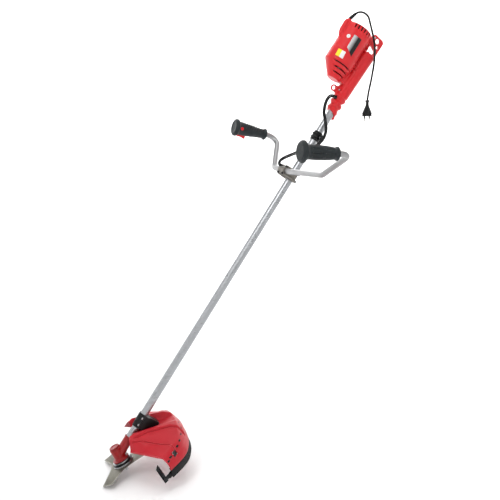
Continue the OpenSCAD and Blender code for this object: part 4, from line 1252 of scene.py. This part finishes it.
def make_head():
    to_tool = TOOL.inverted() @ HEAD
    neck = [(-1087, 15, 0), (-1085, 15.6, 0), (-1031, 15.8, 0), (-1029, 17, 0), (-1025, 17, 0),
            (-1024, 16.4, 0)]
    bell = [(27.6, -16), (28, -15.6), (28, -12.8), (27.6, -12.4), (22, -11.4), (20, -10), (19, -7),
            (19, 25.5), (18, 27)]
    body = solid("gear_casting", joined(
        moved(lathe_z(bell, 72), to_tool), lathe_x(neck), box(-1044, -1020, -5, 5, -24, -12),
        moved(lathe_z([(18.5, 0), (18.5, 26)], 48), to_tool @ shift(2, 0, 0)),
        rod((-1090, 0, 0), (-1062, 0, 0), 17.6, 48, r_end=15.7)), TOOL)
    fuse(body, 0.85, 4)
    cut(body, TOOL,
        moved(lathe_z([(16, -3), (16, 40)], 48), to_tool),
        moved(lathe_z([(14, -18), (14, -2)], 48), to_tool),
        lathe_x([(-1085, 12, 0), (-1058, 12, 0)], 48),
        lathe_x([(-1060, 13.02, 0), (-1000, 13.02, 0)], 64),
        rod((-1032, -20, -19), (-1032, 20, -19), 2.1, 20))
    finish(body, HEAD_RED, "frame", "gear_case", angle=40)
    cap = [(15.6, 27.02, 0), (16, 27.4, 0), (16, 28, 1.2), (16, 31.6, 1.2), (15.2, 32.6, 1.2), (12.5, 33, 0),
           (11.5, 32.6, 0), (11, 31.6, 0), (3, 31.6, 0)]
    loops = [ribbed_circle(r, z, depth, 18, 1.5, 0.4, 216) for r, z, depth in cap]
    finish(solid("gear_cap", rings(loops), HEAD), HEAD_RED, "frame", "gear_case_cap", angle=30)


FLANGE_SEG = 240


def make_flange():
    """Two discs with a dark ribbed waist between them."""
    profile = [(6, -18.2, 0), (24, -18.2, 0), (30.4, -18.5, 0), (31, -19, 0), (31, -20.6, 0),
               (30.4, -21.2, 0), (25.5, -21.5, 0), (24.5, -22.5, 2.6), (24.5, -26, 2.6), (25.5, -27, 0),
               (33.5, -27, 0), (34.6, -27.6, 0), (35, -28.6, 0), (34, -29.3, 0), (34, -29.9, 0),
               (35, -30.6, 0), (35, -31.6, 0), (34.4, -32.2, 0), (12.6, -32.2, 0), (12.6, -33.7, 0),
               (5.05, -33.7, 0)]
    loops = [ribbed_circle(r, z, depth, 24, 2, 0, FLANGE_SEG) for r, z, depth in profile]
    flange = solid("blade_flange_turned", torus(loops), HEAD, weld=1e-6)
    finish(flange, STEEL, "cutter", "blade_flange", angle=30)
    flange.data.materials.append(BLACK_STEEL)
    for i, face in enumerate(flange.data.polygons):
        if 6 <= i // FLANGE_SEG <= 10:
            face.material_index = 1


BLADE_R = 120
TOOTH_PHASE = -138
BLADE_Z = -33
EDGE_STEPS = 12


def make_blade():
    """Three-tooth blade with ground edges and a centre hole."""
    outline = []
    for i in range(3):
        a = TOOTH_PHASE + 120 * i
        for share, extra in ((1, 0), (0.99, 18), (0.42, 40), (0.4, 76)):
            t = math.radians(a + extra)
            outline.append(Vector((BLADE_R * share * math.cos(t), BLADE_R * share * math.sin(t))))
    n = len(outline)

    def inner(width):
        out = []
        for i in range(n):
            d0 = (outline[i] - outline[i - 1]).normalized()
            d1 = (outline[(i + 1) % n] - outline[i]).normalized()
            n0 = Vector((-d0.y, d0.x))
            n1 = Vector((-d1.y, d1.x))
            b = (n0 + n1).normalized()
            out.append(outline[i] + b * width / max(0.4, b.dot(n0)))
        return out

    def dense(points, z):
        out = []
        for a, b in zip(points, points[1:] + points[:1]):
            out += [(a.x + (b.x - a.x) * s / EDGE_STEPS, a.y + (b.y - a.y) * s / EDGE_STEPS, z)
                    for s in range(EDGE_STEPS)]
        return out

    half = 0.8
    ground = inner(4)
    count = n * EDGE_STEPS
    angles = [math.atan2(p[1], p[0]) for p in dense(outline, 0)]
    hole = [[(12.7 * math.cos(a), 12.7 * math.sin(a), z) for a in angles] for z in (half, -half)]
    loops = [dense(outline, 0.25), dense(ground, half), hole[0], hole[1], dense(ground, -half),
             dense(outline, -0.25)]
    blade = solid("blade_ground", moved(torus(loops), shift(0, 0, BLADE_Z)), HEAD, weld=1e-6)
    finish(blade, BLADE_STEEL, "cutter", "blade", angle=8)
    blade.data.materials.append(EDGE_STEEL)
    for i, face in enumerate(blade.data.polygons):
        if i // count in (0, 4, 5):
            face.material_index = 1


# ---- making it all ----

make_mains_lead()
make_housing()
make_housing_screws()
make_labels()
make_shaft()
make_band()
make_control_cable()
make_bars()
make_clamp()
make_left_grip()
make_switch_grip()
make_lock_button()
cad_copy("trigger", 0.9, CONTROL_RED, "trigger")
make_guard()
make_skirt()
make_line_cutter()
cad_copy("guard_bracket", 0.9, BLACK, "frame")
cad_copy("guard_bracket_cap", 0.9, BLACK, "frame")
cad_copy("guard_screws", 0.5, STEEL, "frame")
cad_copy("case_screws", 0.5, STEEL, "frame")
make_head()
make_flange()
make_blade()
cad_copy("blade_cup", 0.8, STEEL, "cutter")
cad_copy("blade_nut", 0.6, STEEL, "cutter")
